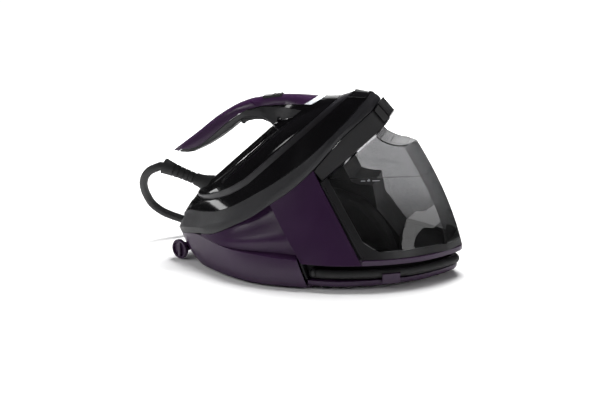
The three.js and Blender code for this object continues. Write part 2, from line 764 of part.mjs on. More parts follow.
function coreOutline(distance) {
  const top = coreTopShares.map((share) => {
    const seat = flat(platform(0, 0, -neckDrop - neckSeat));
    return crossing(seat, neckRise, new THREE.Vector2(share * bodyLength, 0), new THREE.Vector2(0, 1));
  });
  return inset([...top, ...coreShares.map(([x, z]) => [x * bodyLength, z * bodyHeight])], distance);
}

const core = (distance) => across(coreOutline(distance), coreHalfWidth - distance);

const tankOuter = both(tankForm(0), across(tankProfile(0, neckSeat, 0, 0)));
const tankInner = both(
  tankForm(tankWall),
  across(tankProfile(tankBackWall, neckSeat + tankWall, tankWall, tankWall)),
);
const tankShell = cut(tankOuter, tankInner);

// What lies within a distance of the tank's back line.
function backStrip(extra) {
  return cut(
    across(tankProfile(-overrun, -overrun, -overrun, -overrun)),
    across(tankProfile(tankBackWall + extra, -overrun * 2, -overrun * 2, -overrun * 2)),
  );
}

// What lies beside the tank's back line or above its bottom within the frame's reach.
function frameRegion(grow) {
  const reach = overrun * 4;
  const [low, high] = tankProfile(frameWidth + grow, -reach, -reach, frameBottomHeight + grow);
  const radius = frameCorner;
  const open = [
    [low[0] + backRise.x * radius, low[1] + backRise.y * radius],
    [low[0] + radius * 0.3, low[1] + radius * 0.3],
    [low[0] + radius, low[1]],
    [bodyLength, low[1]],
    [bodyLength, bodyHeight],
    [high[0], bodyHeight],
    high,
  ];
  const all = [
    [0, 0],
    [bodyLength - overrun, 0],
    [bodyLength - overrun, bodyHeight - overrun],
    [0, bodyHeight - overrun],
  ];
  return cut(across(all), across(open, bodyWidth + overrun));
}

const above = (z) => box(0, bodyLength, -bodyWidth, bodyWidth, z, bodyHeight);
const lidShares = [0.3175, 0.372];
const lidX = lidShares.map((share) => share * bodyLength);
const lidHalf = 20;

function lidColumn(grow) {
  return box(lidX[0] - grow, lidX[1] + grow, -lidHalf - grow, lidHalf + grow, tankSplitHeight, bodyHeight);
}

// The recess in the tank's back, which is open towards the housing, so that the tank draws off level.
function makeTankBack() {
  const recess = core(tankBackWall);
  const wall = join(both(tankShell, backStrip(0)), both(tankOuter, core(0)));
  return cut(wall, recess, recess.translate([-overrun * 2, 0, 0]));
}

function makeCoreWall() {
  const behind = cut(
    across(tankProfile(-dockGap - shellWall, 0, 0, 0)),
    across(tankProfile(-dockGap, -overrun, -overrun, -overrun)),
  );
  const room = tankBackWall + dockGap;
  const block = both(core(room), across(tankProfile(-dockGap - shellWall, 0, -overrun, 0)));
  return cut(join(both(behind, tankForm(shellWall + seamGap * 2)), block), core(room + shellWall));
}

// The rounded wheel-arch bulges of the back wall, seen through the tank's sides.
const archShares = [
  [0.03, 0.489], [0.158, 0.489], [0.247, 0.44], [0.302, 0.347], [0.337, 0.265], [0.36, 0.166], [0.03, 0.166],
];
const archReachShares = [[0.186, 0], [0.245, 0], [0.28, 0.012], [0.297, 0.035]];

function arch(side, distance) {
  const outline = archShares.map(([x, z]) => [x * bodyLength, z * bodyHeight]);
  const rings = archReachShares.map(([y, draw]) => {
    const reach = side * (y * bodyWidth - distance);
    return inset(outline, draw * bodyHeight + distance).map(([x, z]) => V(x, reach, z));
  });
  return loft(rings);
}

const arches = (distance) => join(arch(1, distance), arch(-1, distance));

// Iron, in its own frame: +X to the toe, +Z away from the soleplate

// The crest in side view, and the layers from the lower edge to the crest: share of the way in, share of
// the way up.
const crestShares = [
  [-0.178, 0.4], [-0.052, 0.36], [0.41, 0.36], [0.54, 0.3], [0.662, 0.2], [0.749, 0.11], [0.822, 0.03],
];
const bodyLayerShares = [
  [0, 0], [0.03, 0.3], [0.13, 0.52], [0.33, 0.7], [0.47, 0.8], [0.58, 0.79], [0.76, 0.98], [0.97, 1.02],
];
const heartShares = [-0.09, 0.66];
const ironStations = range(0, 2 * frontStation, 34).slice(0, -1);

function lookUp(table, x) {
  const k = Math.max(1, table.findIndex(([at]) => at >= x));
  const [x0, y0] = table[k - 1];
  const [x1, y1] = table[k];
  return mix(y0, y1, THREE.MathUtils.clamp((x - x0) / (x1 - x0), 0, 1));
}

const scaled = (table, ...scales) => table.map((row) => row.map((value, k) => value * scales[k]));
const crestLine = scaled([...crestShares, [1, 0]], ironLength, ironHeight);

// Every second row or point: the insides of shells need less detail.
function sparse(rows, distance) {
  return rows.filter((_, k) => distance === 0 || k % 2 === 0 || k === rows.length - 1);
}

function bodyRing(share, rise, distance) {
  return sparse(ironStations, distance).map((i) => {
    const p = ironEdge(i);
    const [from, to] = heartShares.map((at) => at * ironLength);
    const heart = V(THREE.MathUtils.clamp(p.x, from, to), 0, p.z);
    const draw = heart.clone().sub(p);
    const step = share + (distance * (1 - rise * 0.6)) / Math.max(draw.length(), distance * 4);
    p.addScaledVector(draw, step);
    return V(p.x, p.y, mix(p.z, lookUp(crestLine, p.x), rise) - distance * rise);
  });
}

function ironBody(distance) {
  const skirtRing = bodyRing(0, 0, distance).map((p) => p.setZ(p.z - skirtDepth - distance * 2));
  const layers = sparse(bodyLayerShares, distance).map(([share, rise]) => bodyRing(share, rise, distance));
  return loft([skirtRing, ...layers]);
}

// Handle and front column: place along the iron, underside, top and half width.
const handleShares = [
  [-0.118, 0.995, 1.01, 0.03], [-0.105, 0.97, 1.008, 0.06], [-0.085, 0.905, 1.005, 0.09],
  [-0.06, 0.848, 1, 0.112], [-0.03, 0.802, 0.993, 0.124], [0.01, 0.77, 0.983, 0.13],
  [0.07, 0.728, 0.972, 0.134], [0.14, 0.699, 0.965, 0.135], [0.195, 0.687, 0.955, 0.135],
  [0.244, 0.682, 0.937, 0.135], [0.296, 0.678, 0.911, 0.135], [0.331, 0.61, 0.886, 0.134],
  [0.366, 0.532, 0.852, 0.133], [0.387, 0.425, 0.83, 0.132], [0.397, 0.369, 0.818, 0.132],
  [0.411, 0.18, 0.797, 0.132], [0.425, -0.02, 0.773, 0.132], [0.446, -0.02, 0.741, 0.132],
  [0.491, -0.02, 0.664, 0.13], [0.54, -0.02, 0.576, 0.128], [0.585, -0.02, 0.475, 0.124],
  [0.622, -0.02, 0.385, 0.12], [0.662, -0.02, 0.28, 0.114], [0.707, -0.02, 0.165, 0.105],
  [0.76, -0.02, 0.055, 0.09], [0.785, -0.02, 0.02, 0.08],
];
// The section of the handle: share of the way up, share of the half width.
const handleRoundShares = [
  [0, 0.42], [0.1, 0.82], [0.28, 1], [0.5, 1], [0.7, 0.96], [0.86, 0.85], [0.95, 0.62], [1, 0.25],
];
const flareShare = 0.45; // where the front column starts to widen, of the iron's height

const ironHalves = range(0, frontStation, 48).map((i) => ironEdge(i)).map((p) => [p.x, -p.y]);

function handleRing([s, low, high, half], distance) {
  const x = s * ironLength;
  const bottom = low * ironHeight + distance;
  const top = high * ironHeight - distance;
  const wide = half * ironWidth;
  const right = sparse(handleRoundShares, distance).map(([t, share]) => {
    const z = mix(bottom, top, t);
    const flare = THREE.MathUtils.clamp(1 - z / (flareShare * ironHeight), 0, 1) ** 1.4;
    const reach = wide + Math.max(0, lookUp(ironHalves, x) * 0.96 - wide) * flare;
    return [reach * share - distance, z];
  });
  const ring = right.map(([y, z]) => V(x, -Math.max(y, distance / 4), z));
  return [...ring, ...right.reverse().map(([y, z]) => V(x, Math.max(y, distance / 4), z))];
}

function ironHandle(distance) {
  const rows = distance > 0 ? sparse(handleShares.slice(1, -2), distance) : handleShares;
  return loft(rows.map((row) => handleRing(row, distance)));
}

const skirtRiseShares = [[0, 0.025], [3.2, 0.07], [12, 0.06]]; // by station, of the iron's height

function underSkirt(grow) {
  const ring = (i, low) => {
    const p = outwardEdge(i, overrun);
    const rise = lookUp(skirtRiseShares, Math.min(i, 2 * frontStation - i)) * ironHeight;
    return V(p.x, p.y, low ? -ironHeight / 2 : p.z + rise + grow);
  };
  return loft([true, false].map((low) => ironStations.map((i) => ring(i, low))));
}

const ironShell = cut(join(ironBody(0), ironHandle(0)), join(ironBody(ironWall), ironHandle(ironWall)));
const ironPlace = (points) => scaled(points, ironLength, ironHeight);
const acrossIron = (points, grow = 0, half = ironWidth) => slab(inset(ironPlace(points), -grow), -half, half);

// Outlines in side view of the pieces that the upper shell is divided into.
const coverShares = [
  [-0.2, 1.1], [-0.2, 0.97], [-0.07, 0.945], [-0.028, 0.868], [0.024, 0.814], [0.111, 0.8], [0.206, 0.8],
  [0.293, 0.782], [0.355, 0.745], [0.425, 0.65], [0.521, 0.464], [0.601, 0.3], [0.75, 0.227], [0.9, 1.1],
];
const lightBandShares = [[0.601, 0.3], [0.629, 0.237], [0.75, 0.164], [0.75, 0.227]];
const gripShares = [
  [-0.2, 0.96], [-0.07, 0.94], [-0.028, 0.863], [0.024, 0.809], [0.111, 0.795], [0.206, 0.795],
  [0.293, 0.777], [0.345, 0.743], [0.36, 0.715], [0.42, 0.64], [0.489, 0.49], [0.571, 0.265],
  [0.518, 0.272], [0.477, 0.319], [0.439, 0.347], [0.41, 0.375], [0.39, 0.425], [-0.2, 0.425],
];

// The long button on the handle and its ridges, in side view on the slope of the cover.
const buttonStart = V(0.45 * ironLength, 0, 0.734 * ironHeight);
const buttonEnd = V(0.532 * ironLength, 0, 0.589 * ironHeight);
const buttonHalf = 7.5;
const buttonRaise = 1.4;
const buttonDepth = 4;
const buttonTravel = 1.2;

function buttonOutline(grow, raise, from = 0, to = 1, sink = 0) {
  const along = buttonEnd.clone().sub(buttonStart).normalize();
  const up = V(-along.z, 0, along.x);
  const corner = (share, reach, lift) =>
    buttonStart.clone().lerp(buttonEnd, share).addScaledVector(along, reach).addScaledVector(up, lift);
  const points = [
    corner(from, -grow, -buttonDepth - grow - sink),
    corner(to, grow, -buttonDepth - grow - sink),
    corner(to, grow, raise + grow),
    corner(from, -grow, raise + grow),
  ];
  return points.map((p) => [p.x, p.z]);
}

function makeBoostButton() {
  const plateau = slab(buttonOutline(0, buttonRaise), -buttonHalf, buttonHalf);
  const ridges = [0.52, 0.7, 0.88].map((at) =>
    slab(buttonOutline(0, buttonRaise * 1.5, at, at + 0.09), -buttonHalf * 0.8, buttonHalf * 0.8),
  );
  return join(plateau, ...ridges);
}

const windowHalf = buttonHalf + lidClearance;
const windowOutline = buttonOutline(lidClearance, overrun * 2, 0, 1, buttonTravel);
const buttonWindow = slab(windowOutline, -windowHalf, windowHalf);

// The steam trigger under the grip: a lever hinged at its front end.
const triggerShares = [
  [0.275, 0.66], [0.281, 0.63], [0.297, 0.64], [0.34, 0.582], [0.373, 0.512], [0.382, 0.532], [0.362, 0.6],
  [0.32, 0.7], [0.279, 0.718],
];
const triggerHalf = 8.6;
const triggerClearance = 0.7;
const makeTrigger = () => acrossIron(triggerShares, 0, triggerHalf);
const triggerWindow = join(
  acrossIron(triggerShares, triggerClearance, triggerHalf + triggerClearance),
  acrossIron(triggerShares.map(([a, b]) => [a, b + 0.03]), triggerClearance, triggerHalf + triggerClearance),
);

// Boot and strain relief where the hose leaves the iron's heel, on one sloping axis.
const reliefAxis = V(-0.4749, 0, 0.8801).normalize();
const reliefStart = V(-0.13745 * ironLength, 0, 0.5076 * ironHeight);
// The boot's shape: share of the relief's length, share of its start radius.
const bootShares = [[0, 1.11], [0.111, 1.14], [0.241, 1.32], [0.37, 1.62], [0.481, 1.855]];

function boot(grow) {
  const spots = bootShares.map(([at, share]) => [share * reliefStartRadius + grow, at * reliefLength]);
  const [first, ...rest] = spots;
  const [wide, end] = rest[rest.length - 1];
  const profile = [[0, -grow], [first[0], -grow], ...rest, [wide, end + grow], [0, end + grow]];
  return turned(profile, reliefStart, reliefAxis.clone().negate(), 24);
}

// The relief's slots: where the first starts, from one to the next, and how wide, of its length.
const slotShares = [0.03, 0.15, 0.04];
const slotDepthShare = 0.14; // of the radius there

function makeRelief() {
  const radius = (share) => mix(reliefStartRadius, reliefEndRadius, share ** 2.6);
  const [first, pitch, wide] = slotShares;
  const profile = [[0, 0], [radius(0), 0]];
  for (let k = 0; k <= reliefRibs; k++) {
    const at = first + k * pitch;
    const deep = 1 - slotDepthShare;
    profile.push([radius(at), at], [radius(at) * deep, at + wide * 0.3]);
    profile.push([radius(at) * deep, at + wide * 0.7], [radius(at + wide), at + wide]);
  }
  profile.push([radius(0.86), 0.86], [radius(0.98), 0.98], [radius(1) * 0.97, 1], [0, 1]);
  const points = profile.map(([r, share]) => [r, share * reliefLength]);
  return turned(points, reliefStart.clone().addScaledVector(reliefAxis, seatGap), reliefAxis, 16);
}

function ironPlate(distance, low, high, from) {
  const outline = ironOutline(-distance, from);
  const ring = (points, h) => points.map(([s, y]) => V(s, y, h));
  const edge = (high - low) * 0.3;
  return loft([ring(inset(outline, edge * 0.7), low), ring(outline, low + edge), ring(outline, high)]);
}

function makeSoleplate() {
  const plain = ironPlate(soleplateInset, soleplateBottom, soleplateTop, soleplateStation);
  const holes = [];
  for (const share of [0.5, 0.6, 0.7]) {
    for (const side of [-1, 1]) {
      const at = V(share * ironLength, (side * (1 - share) * ironWidth) / 1.9, soleplateBottom - overrun);
      holes.push(rod(at, at.clone().setZ(soleplateTop + overrun), steamHoleDiameter / 2, 8));
    }
  }
  return cut(plain, ...holes);
}

function makeChamber() {
  const floor = soleplateTop + seatGap;
  return ironPlate(chamberInset, floor, floor + chamberHeight, soleplateStation + 0.4);
}

// Small parts of the base

const knobCentre = V(-0.4186 * bodyLength, -0.1167 * bodyWidth, 0.0616 * bodyHeight);
const knobAxis = V(-0.43, -0.9, 0).normalize();
const bossRadius = 7;
const bossReach = 25;

function makeKnob() {
  const r = knobDiameter / 2;
  const t = knobThickness;
  const back = knobCentre.clone().addScaledVector(knobAxis, -t / 2);
  const dish = turned(
    [
      [0, 0], [r * 0.55, 0], [r * 0.62, t * 0.3], [r * 0.94, t * 0.42], [r, t * 0.55], [r, t * 0.9],
      [r * 0.94, t], [r * 0.8, t], [r * 0.74, t * 0.7], [0, t * 0.62],
    ],
    back,
    knobAxis,
    28,
  );
  const sideways = new THREE.Vector3().crossVectors(knobAxis, V(0, 0, 1)).normalize();
  const turn = new THREE.Matrix4().makeBasis(sideways, V(0, 0, 1), knobAxis.clone().negate());
  const bar = new THREE.BoxGeometry(r * 0.34, r * 1.5, t * 0.42).applyMatrix4(turn);
  const at = back.clone().addScaledVector(knobAxis, t * 0.78);
  return join(dish, solid(bar.translate(at.x, at.y, at.z)));
}

function bossRod(radius, reach) {
  const from = knobCentre.clone().addScaledVector(knobAxis, -knobThickness / 2 - seatGap);
  return rod(from, from.clone().addScaledVector(knobAxis, -reach), radius);
}

// Buttons of the control panel, set square to its surface.
const buttonRadius = 6.4;
const panelButtonRaise = 1.2;
const panelButtonStem = 2; // below the wall of the panel
const panelOut = V(-0.8, 0, 0.6);

function panelSpot(i) {
  return bandUpper(i).lerp(chamferEdge(i), 0.5);
}

function panelButton(i, grow) {
  const from = panelSpot(i).addScaledVector(panelOut, -shellWall - panelButtonStem - grow * overrun);
  const to = panelSpot(i).addScaledVector(panelOut, panelButtonRaise + grow * overrun);
  return rod(from, to, buttonRadius + grow, 20);
}

const buttonStations = [0.72, -0.72];

// Carry lock: a slider on the toe of the platform ring.
const lockShares = [[0.1767, 0.2349], [0.9646, 0.997]]; // along and up
const lockX = lockShares[0].map((share) => share * bodyLength);
const lockZ = lockShares[1].map((share) => share * bodyHeight);
const lockHalf = 20.5;
const lockTravel = 4;
const lockClearance = 1.6;

// The room round the iron's toe that the slider keeps clear over its travel.
function toeRoom() {
  const outline = ironOutline(lockTravel + lockClearance);
  return loft([-ironHeight / 2, ironHeight].map((h) => outline.map(([s, y]) => platform(s, y, h))));
}

function lockRoom() {
  const [x0, x1] = lockX;
  const [z0, z1] = lockZ;
  const side = lockHalf + seamGap;
  return box(x0 - lockTravel - seamGap, x1 + seamGap, -side, side, z0 - seamGap, z1 + overrun);
}

// Its crown: share of the half width, and how far the top falls there, of the slider's height.
const lockCrownShares = [[-1, 0.8], [-0.9, 0.62], [-0.5, 0.14], [0, 0], [0.5, 0.14], [0.9, 0.62], [1, 0.8]];
const lockFall = 3.4; // how far the top falls towards the tank

function makeLock() {
  const [x0, x1] = lockX;
  const [z0, z1] = lockZ;
  const rise = z1 - z0;
  const ring = ([side, drop]) => {
    const y = side * lockHalf;
    const heel = z1 - drop * rise;
    const toe = heel - lockFall * (1 - drop);
    return [
      V(x0 + rise, y, z0),
      V(x0, y, mix(z0, heel, 0.55)),
      V(x0 + rise * 0.4, y, heel),
      V(x1 - rise * 0.3, y, toe),
      V(x1, y, mix(z0, toe, 0.6)),
      V(x1, y, z0),
    ];
  };
  return cut(loft(lockCrownShares.map(ring)), toeRoom());
}

// Hose, gland and clip

const hoseLevel = 21.9;
const hoseInset = 9.4;
const grooveExitShare = 0.24; // where the hose leaves the groove on the left side, along the body

function hosePath() {
  const outline = planOutline(trayEdge, 0, panelStation + 0.25, 30);
  const start = trayEdge(panelStation).x + hoseDiameter;
  const exit = grooveExitShare * bodyLength;
  const line = shrink(outline, hoseInset).filter(([x, y]) => x > (y < 0 ? start : exit));
  return line.map(([x, y]) => V(x, y, hoseLevel));
}

const stowedPath = hosePath();
const freeShares = [
  [-0.529, 0.004, 0.498], [-0.553, 0.017, 0.478], [-0.576, 0.042, 0.441], [-0.594, 0.083, 0.388],
  [-0.601, 0.125, 0.339], [-0.601, 0.175, 0.281], [-0.592, 0.217, 0.225], [-0.562, 0.258, 0.17],
  [-0.532, 0.3, 0.135], [-0.504, 0.338, 0.108], [-0.453, 0.4, 0.06], [-0.372, 0.467, 0.03],
  [-0.28, 0.521, 0.027], [-0.186, 0.55, 0.026], [-0.093, 0.558, 0.026], [-0.012, 0.55, 0.034],
  [0.058, 0.538, 0.052], [0.116, 0.522, 0.071], [0.174, 0.5, 0.081],
];
const hoseSag = 2; // how far the hose leaves the relief below its axis

function loopPath() {
  const axis = reliefAxis.clone().applyEuler(ironGroup.rotation);
  const start = onIronGroup(reliefStart).addScaledVector(axis, reliefLength + seatGap * 2);
  start.add(V(-axis.z, 0, axis.x).multiplyScalar(hoseSag));
  const free = freeShares.map(([a, b, c]) => V(a, b, c).multiply(bodySize));
  const [before, end] = stowedPath.slice(-2);
  const away = end.clone().sub(before).normalize();
  const last = end.clone().addScaledVector(away, seatGap);
  const straight = end.clone().addScaledVector(away, hoseDiameter / 2);
  return [start, start.clone().addScaledVector(axis, hoseDiameter / 4), ...free, straight, last];
}

const onIronGroup = (p) => platform(p.x, p.y, p.z);

function makeHoseGland() {
  const [end, next] = stowedPath;
  const away = end.clone().sub(next).normalize();
  const r = hoseDiameter / 2;
  return turned(
    [[0, 0], [r * 1.12, 0], [r * 1.12, r * 0.5], [r * 0.9, r * 1.1], [r * 0.5, r * 1.45], [0, r * 1.55]],
    end.clone().addScaledVector(away, seatGap),
    away,
  );
}

const clipShares = [0.325, 0.379]; // along the body
const clipBottom = 10;
const clipHeight = 14;
const clipFaces = [-1.4, 2.3]; // its outside and inside, inward from the tray's edge

function makeClip() {
  const [outer, inner] = clipFaces.map((distance) => planOutline(trayEdge, distance, rimStation));
  const shell = cut(plate(outer, clipBottom, clipBottom + clipHeight), plate(inner, 0, bodyHeight));
  return both(shell, box(...clipShares.map((share) => share * bodyLength), -bodyWidth, 0, 0, bodyHeight));
}

// Inside the base

const boilerCentre = V(-0.084 * bodyLength, 0, 0);
const boilerFloor = 22;

const legRadius = 3.8;

function makeBoiler() {
  const r = boilerDiameter / 2;
  const h = boilerHeight;
  const legs = [0.25, 0.75, 1.25, 1.75].map((share) => {
    const angle = share * Math.PI;
    const foot = V(Math.cos(angle), Math.sin(angle), 0).multiplyScalar(r * 0.9).add(boilerCentre);
    const high = foot.clone().setZ(boilerFloor + h * 0.3);
    return rod(foot.setZ(panFloor + panWall + seatGap), high, legRadius, 10);
  });
  const vessel = turned(
    [
      [0, 0], [r * 0.8, 0], [r * 0.96, h * 0.1], [r, h * 0.24], [r, h * 0.46], [r * 1.05, h * 0.47],
      [r * 1.05, h * 0.53], [r, h * 0.54], [r, h * 0.76], [r * 0.96, h * 0.9], [r * 0.8, h], [0, h],
    ],
    boilerCentre.clone().setZ(boilerFloor),
    V(0, 0, 1),
    24,
  );
  return join(vessel, ...legs);
}

const elementRadius = 4;

// The heating element's section is a hexagon with a flat top under the boiler's floor.
function makeElement() {
  const ring = new THREE.TorusGeometry(boilerDiameter * 0.36, elementRadius, 6, 20);
  const drop = elementRadius * Math.sin(Math.PI / 3) + seatGap;
  return solid(ring.translate(boilerCentre.x, boilerCentre.y, boilerFloor - drop));
}

const pumpShares = [0.11, 0.214];
const pumpHalf = 20;
const pumpFloor = panFloor + panWall + seatGap;
const pumpHeight = 25;
const pumpAxis = pumpFloor + pumpHeight / 2;
const motorRadius = 0.02093 * bodyLength;
const pumpTubeDiameter = 6;

function makePump() {
  const [x0, x1] = pumpShares.map((share) => share * bodyLength);
  const motor = rod(V(x0 - motorRadius * 2, 0, pumpAxis), V(x0 + overrun, 0, pumpAxis), motorRadius);
  return join(box(x0, x1, -pumpHalf, pumpHalf, pumpFloor, pumpFloor + pumpHeight), motor);
}

function makeWaterTube() {
  const start = V(pumpShares[0] * bodyLength - motorRadius * 2 - seatGap, 0, pumpAxis);
  const end = V(boilerCentre.x + boilerDiameter / 2 + seatGap, 0, boilerFloor + boilerHeight * 0.36);
  const bend = start.clone().lerp(end, 0.5);
  const leaving = V(mix(start.x, bend.x, 0.6), 0, start.z);
  const arriving = V(mix(bend.x, end.x, 0.4), 0, end.z);
  return tube([start, leaving, bend, arriving, end], pumpTubeDiameter, 16, 8);
}

const valveRadius = 8;
const valveHeight = 22;
const valveFloor = boilerFloor + boilerHeight + seatGap;
const valveCentre = V(boilerCentre.x + boilerDiameter * 0.2, boilerDiameter * 0.22, valveFloor);

function makeSolenoid() {
  const top = valveCentre.clone().setZ(valveCentre.z + valveHeight);
  const body = rod(valveCentre, top, valveRadius * 0.7);
  const coil = valveCentre.clone().setZ(valveCentre.z + valveHeight * 0.35);
  return join(body, rod(coil, coil.clone().setZ(coil.z + valveHeight * 0.5), valveRadius));
}

const boardShares = [[-0.265, -0.145], [0.258, 0.266], [0.09, 0.215]];
// The board's components: from and to along it, from and to up it, how far they stand off it.
const componentShares = [
  [0.1, 0.3, 0.15, 0.5, 0.045],
  [0.45, 0.62, 0.3, 0.8, 0.03],
  [0.72, 0.9, 0.15, 0.4, 0.05],
];

const postHalf = 2.5; // half the width of the two posts that carry the board

function makeBoard() {
  const [x, y, z] = boardShares.map((pair, k) => pair.map((share) => share * bodySize.getComponent(k)));
  const plain = box(...x, ...y, ...z);
  const parts = componentShares.map(([a, b, c, d, deep]) =>
    box(mix(...x, a), mix(...x, b), y[0] - deep * bodyWidth, y[1] - seatGap, mix(...z, c), mix(...z, d)),
  );
  const posts = [0.2, 0.8].map((share) => {
    const middle = mix(...x, share);
    return box(middle - postHalf, middle + postHalf, ...y, panFloor + panWall + seatGap, z[1]);
  });
  return join(plain, ...parts, ...posts);
}

// The mains inlet gland, square to the lower hull's left side near the heel.
const glandStation = -2.7;
const glandRise = 0.45;
const glandRadius = 7;
const glandLength = 15;

function makeInletGland(grow) {
  const spot = baseEdge(glandStation).lerp(hullSeam(glandStation), glandRise);
  const out = inward(spot).negate().setZ(0).normalize();
  const start = spot.clone().addScaledVector(out, -shellWall * 2.4);
  const flangeAt = shellWall * 2.4 + overrun * 1.6;
  const r = glandRadius;
  if (grow > 0) {
    const from = start.addScaledVector(out, -overrun);
    return rod(from, spot.addScaledVector(out, glandLength), r + grow);
  }
  const at = (share) => flangeAt + share * glandLength;
  return turned(
    [
      [0, 0], [r, 0], [r, at(0.03)], [r * 1.35, at(0.03)], [r * 1.35, at(0.2)], [r * 0.95, at(0.3)],
      [r * 0.7, at(1)], [0, at(1)],
    ],
    start,
    out,
  );
}

// Water coupling between the housing and the tank, on the tank's way out.
const couplingRise = 12; // above the tank's bottom
const spigotRadius = 5;
const spigotLength = 8;
const couplingGap = 1;
const couplingRadius = 9; // of the valve's body round it
const couplingFace = Math.max(...coreShares.map(([x]) => x)) * bodyLength;

function makeSpigot() {
  const from = V(couplingFace - tankBackWall - dockGap + seatGap, 0, tankBottom + couplingRise);
  return rod(from, from.clone().setX(from.x + spigotLength), spigotRadius);
}

function couplingBore() {
  const from = V(couplingFace - overrun, 0, tankBottom + couplingRise);
  return rod(from, from.clone().setX(from.x + spigotLength + overrun), spigotRadius + couplingGap);
}

function makeTankValve() {
  const from = V(couplingFace + seatGap, 0, tankBottom + couplingRise);
  const body = rod(from, from.clone().setX(from.x + spigotLength * 2), couplingRadius);
  return cut(body, couplingBore());
}

const gripReach = 26;
const gripHalf = 20;
const gripHeight = 19;

function makeTankGrip() {
  const endX = tankEndShares[0][1][0] * bodyLength;
  const low = tankBottom + tankWall + seatGap;
  const block = box(endX - gripReach, bodyLength, -gripHalf, gripHalf, low, low + gripHeight);
  return both(block, tankForm(tankWall + seatGap));
}

const footHeight = 2.7;
const footPlaces = [[-0.26, 0.217], [-0.26, -0.217], [0.144, 0.4], [0.144, -0.4], [0.46, 0]];

add("base_pan", makePan(), "purple");
add("groove_liner", makeLiner(), "black");
add("tank_tray", makeTray(), "purple");
const lowerHull = join(thicken(lowerHullGrid), ledge(1), ledge(-1), bossRod(bossRadius, bossReach));
add("lower_hull", cut(lowerHull, makeInletGland(seatGap)), "purple");
add("inlet_gland", makeInletGland(0), "rubber");
add("upper_hull_right", upperHull(1), "purple");
add("upper_hull_left", upperHull(-1), "purple");
add("side_panel_right", sidePanel(1), "purple");
add("side_panel_left", sidePanel(-1), "purple");
add("ring_band", thicken(bandGrid(), true), "matteDark");
add("ring_chamfer", cut(makeChamfer(), lockRoom()), "gloss");
add("control_panel", cut(makeConsole(), ...buttonStations.map((i) => panelButton(i, seamGap))), "gloss");
add("power_button", panelButton(buttonStations[0], 0), "matteDark");
add("eco_button", panelButton(buttonStations[1], 0), "matteDark");
add("platform_floor", cut(makeFloor(), lockRoom()), "black");
add("rest_mat", makeMat(), "silicone");
add("neck_housing", makeNeck(), "matteDark");
add("nose_cap", makeNoseCap(), "gloss");
add("carry_lock", makeLock(), "gloss");
add("core_wall", makeCoreWall(), "black");
add("boiler", makeBoiler(), "steel");
add("heating_element", makeElement(), "copper");
add("pump", makePump(), "black");
add("water_tube", makeWaterTube(), "silicone");
add("solenoid_valve", makeSolenoid(), "brass");
add("circuit_board", makeBoard(), "board");
add("water_spigot", makeSpigot(), "brass");
add("drain_knob", makeKnob(), "purple");
footPlaces.forEach(([x, y], k) => {
  const at = V(x * bodyLength, y * bodyWidth, 0);
  add(`foot_${k + 1}`, rod(at, at.clone().setZ(footHeight), footDiameter / 2, 16), "rubber");
});
add("stowed_hose", tube(stowedPath, hoseDiameter, 40, 8), "rubber");
add("hose_gland", makeHoseGland(), "black");
add("hose_clip", makeClip(), "purple");
const archZone = both(
  tankForm(tankWall),
  across(tankProfile(tankBackWall / 2, neckSeat + tankWall, tankWall, 0)),
);
const withArches = join(makeTankBack(), both(arches(0), archZone));
add("tank_back", cut(withArches, arches(tankBackWall), couplingBore()), "black");
add("tank_valve", makeTankValve(), "black");
add("tank_grip", makeTankGrip(), "black");
const besideBack = [backStrip(seatGap), core(-seatGap), arches(-seatGap)];
const front = cut(tankShell, ...besideBack);
add("tank_frame", both(front, frameRegion(0)), "black");
const glazed = cut(front, frameRegion(seatGap));
add("tank_vessel", cut(glazed, above(tankSplitHeight)), "smoked");
add("tank_cover", cut(both(glazed, above(tankSplitHeight + seatGap)), lidColumn(lidClearance)), "smoked");
add("tank_lid", both(glazed, lidColumn(0)), "smoked");

const bootHole = boot(seatGap);
const coverZone = acrossIron(coverShares);
const gripZone = cut(acrossIron(gripShares), acrossIron(coverShares, seatGap));
const upperShell = cut(ironShell, underSkirt(seatGap), bootHole);
add("soleplate", makeSoleplate(), "aluminium", ironGroup);
add("steam_chamber", makeChamber(), "aluminium", ironGroup);
add("skirt", cut(both(ironShell, underSkirt(0)), bootHole), "black", ironGroup);
add("handle_cover", cut(both(upperShell, coverZone), buttonWindow), "purple", ironGroup);
add("handle_grip", cut(both(upperShell, gripZone), triggerWindow), "black", ironGroup);
add("light_band", both(upperShell, acrossIron(lightBandShares, -seatGap / 2)), "light", ironGroup);
const besideBody = [acrossIron(coverShares, seatGap), acrossIron(lightBandShares, seatGap / 2)];
const bodyZone = cut(upperShell, ...besideBody, acrossIron(gripShares, seatGap), triggerWindow);
add("body_shell", bodyZone, "gloss", ironGroup);
add("boost_button", makeBoostButton(), "gloss", ironGroup);
add("steam_trigger", makeTrigger(), "black", ironGroup);
add("boot", boot(0), "rubber", ironGroup);
add("hose_relief", makeRelief(), "rubber", ironGroup);
add("hose_loop", tube(loopPath(), hoseDiameter, 52, 8), "rubber");

// The origin is the middle of the assembly's footprint, the hose not counted.
const extent = new THREE.Box3();
group.updateMatrixWorld(true);
group.traverse((node) => {
  if (node.isMesh && !node.name.startsWith("hose_loop")) extent.expandByObject(node, true);
});
group.position.x = -(extent.min.x + extent.max.x) / 2;

export default group;
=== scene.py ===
"""Steam generator iron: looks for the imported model. Metres, +Z up, +X from the heel to the tank."""
import math

import bmesh
import bpy
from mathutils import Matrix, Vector
from mathutils.bvhtree import BVHTree


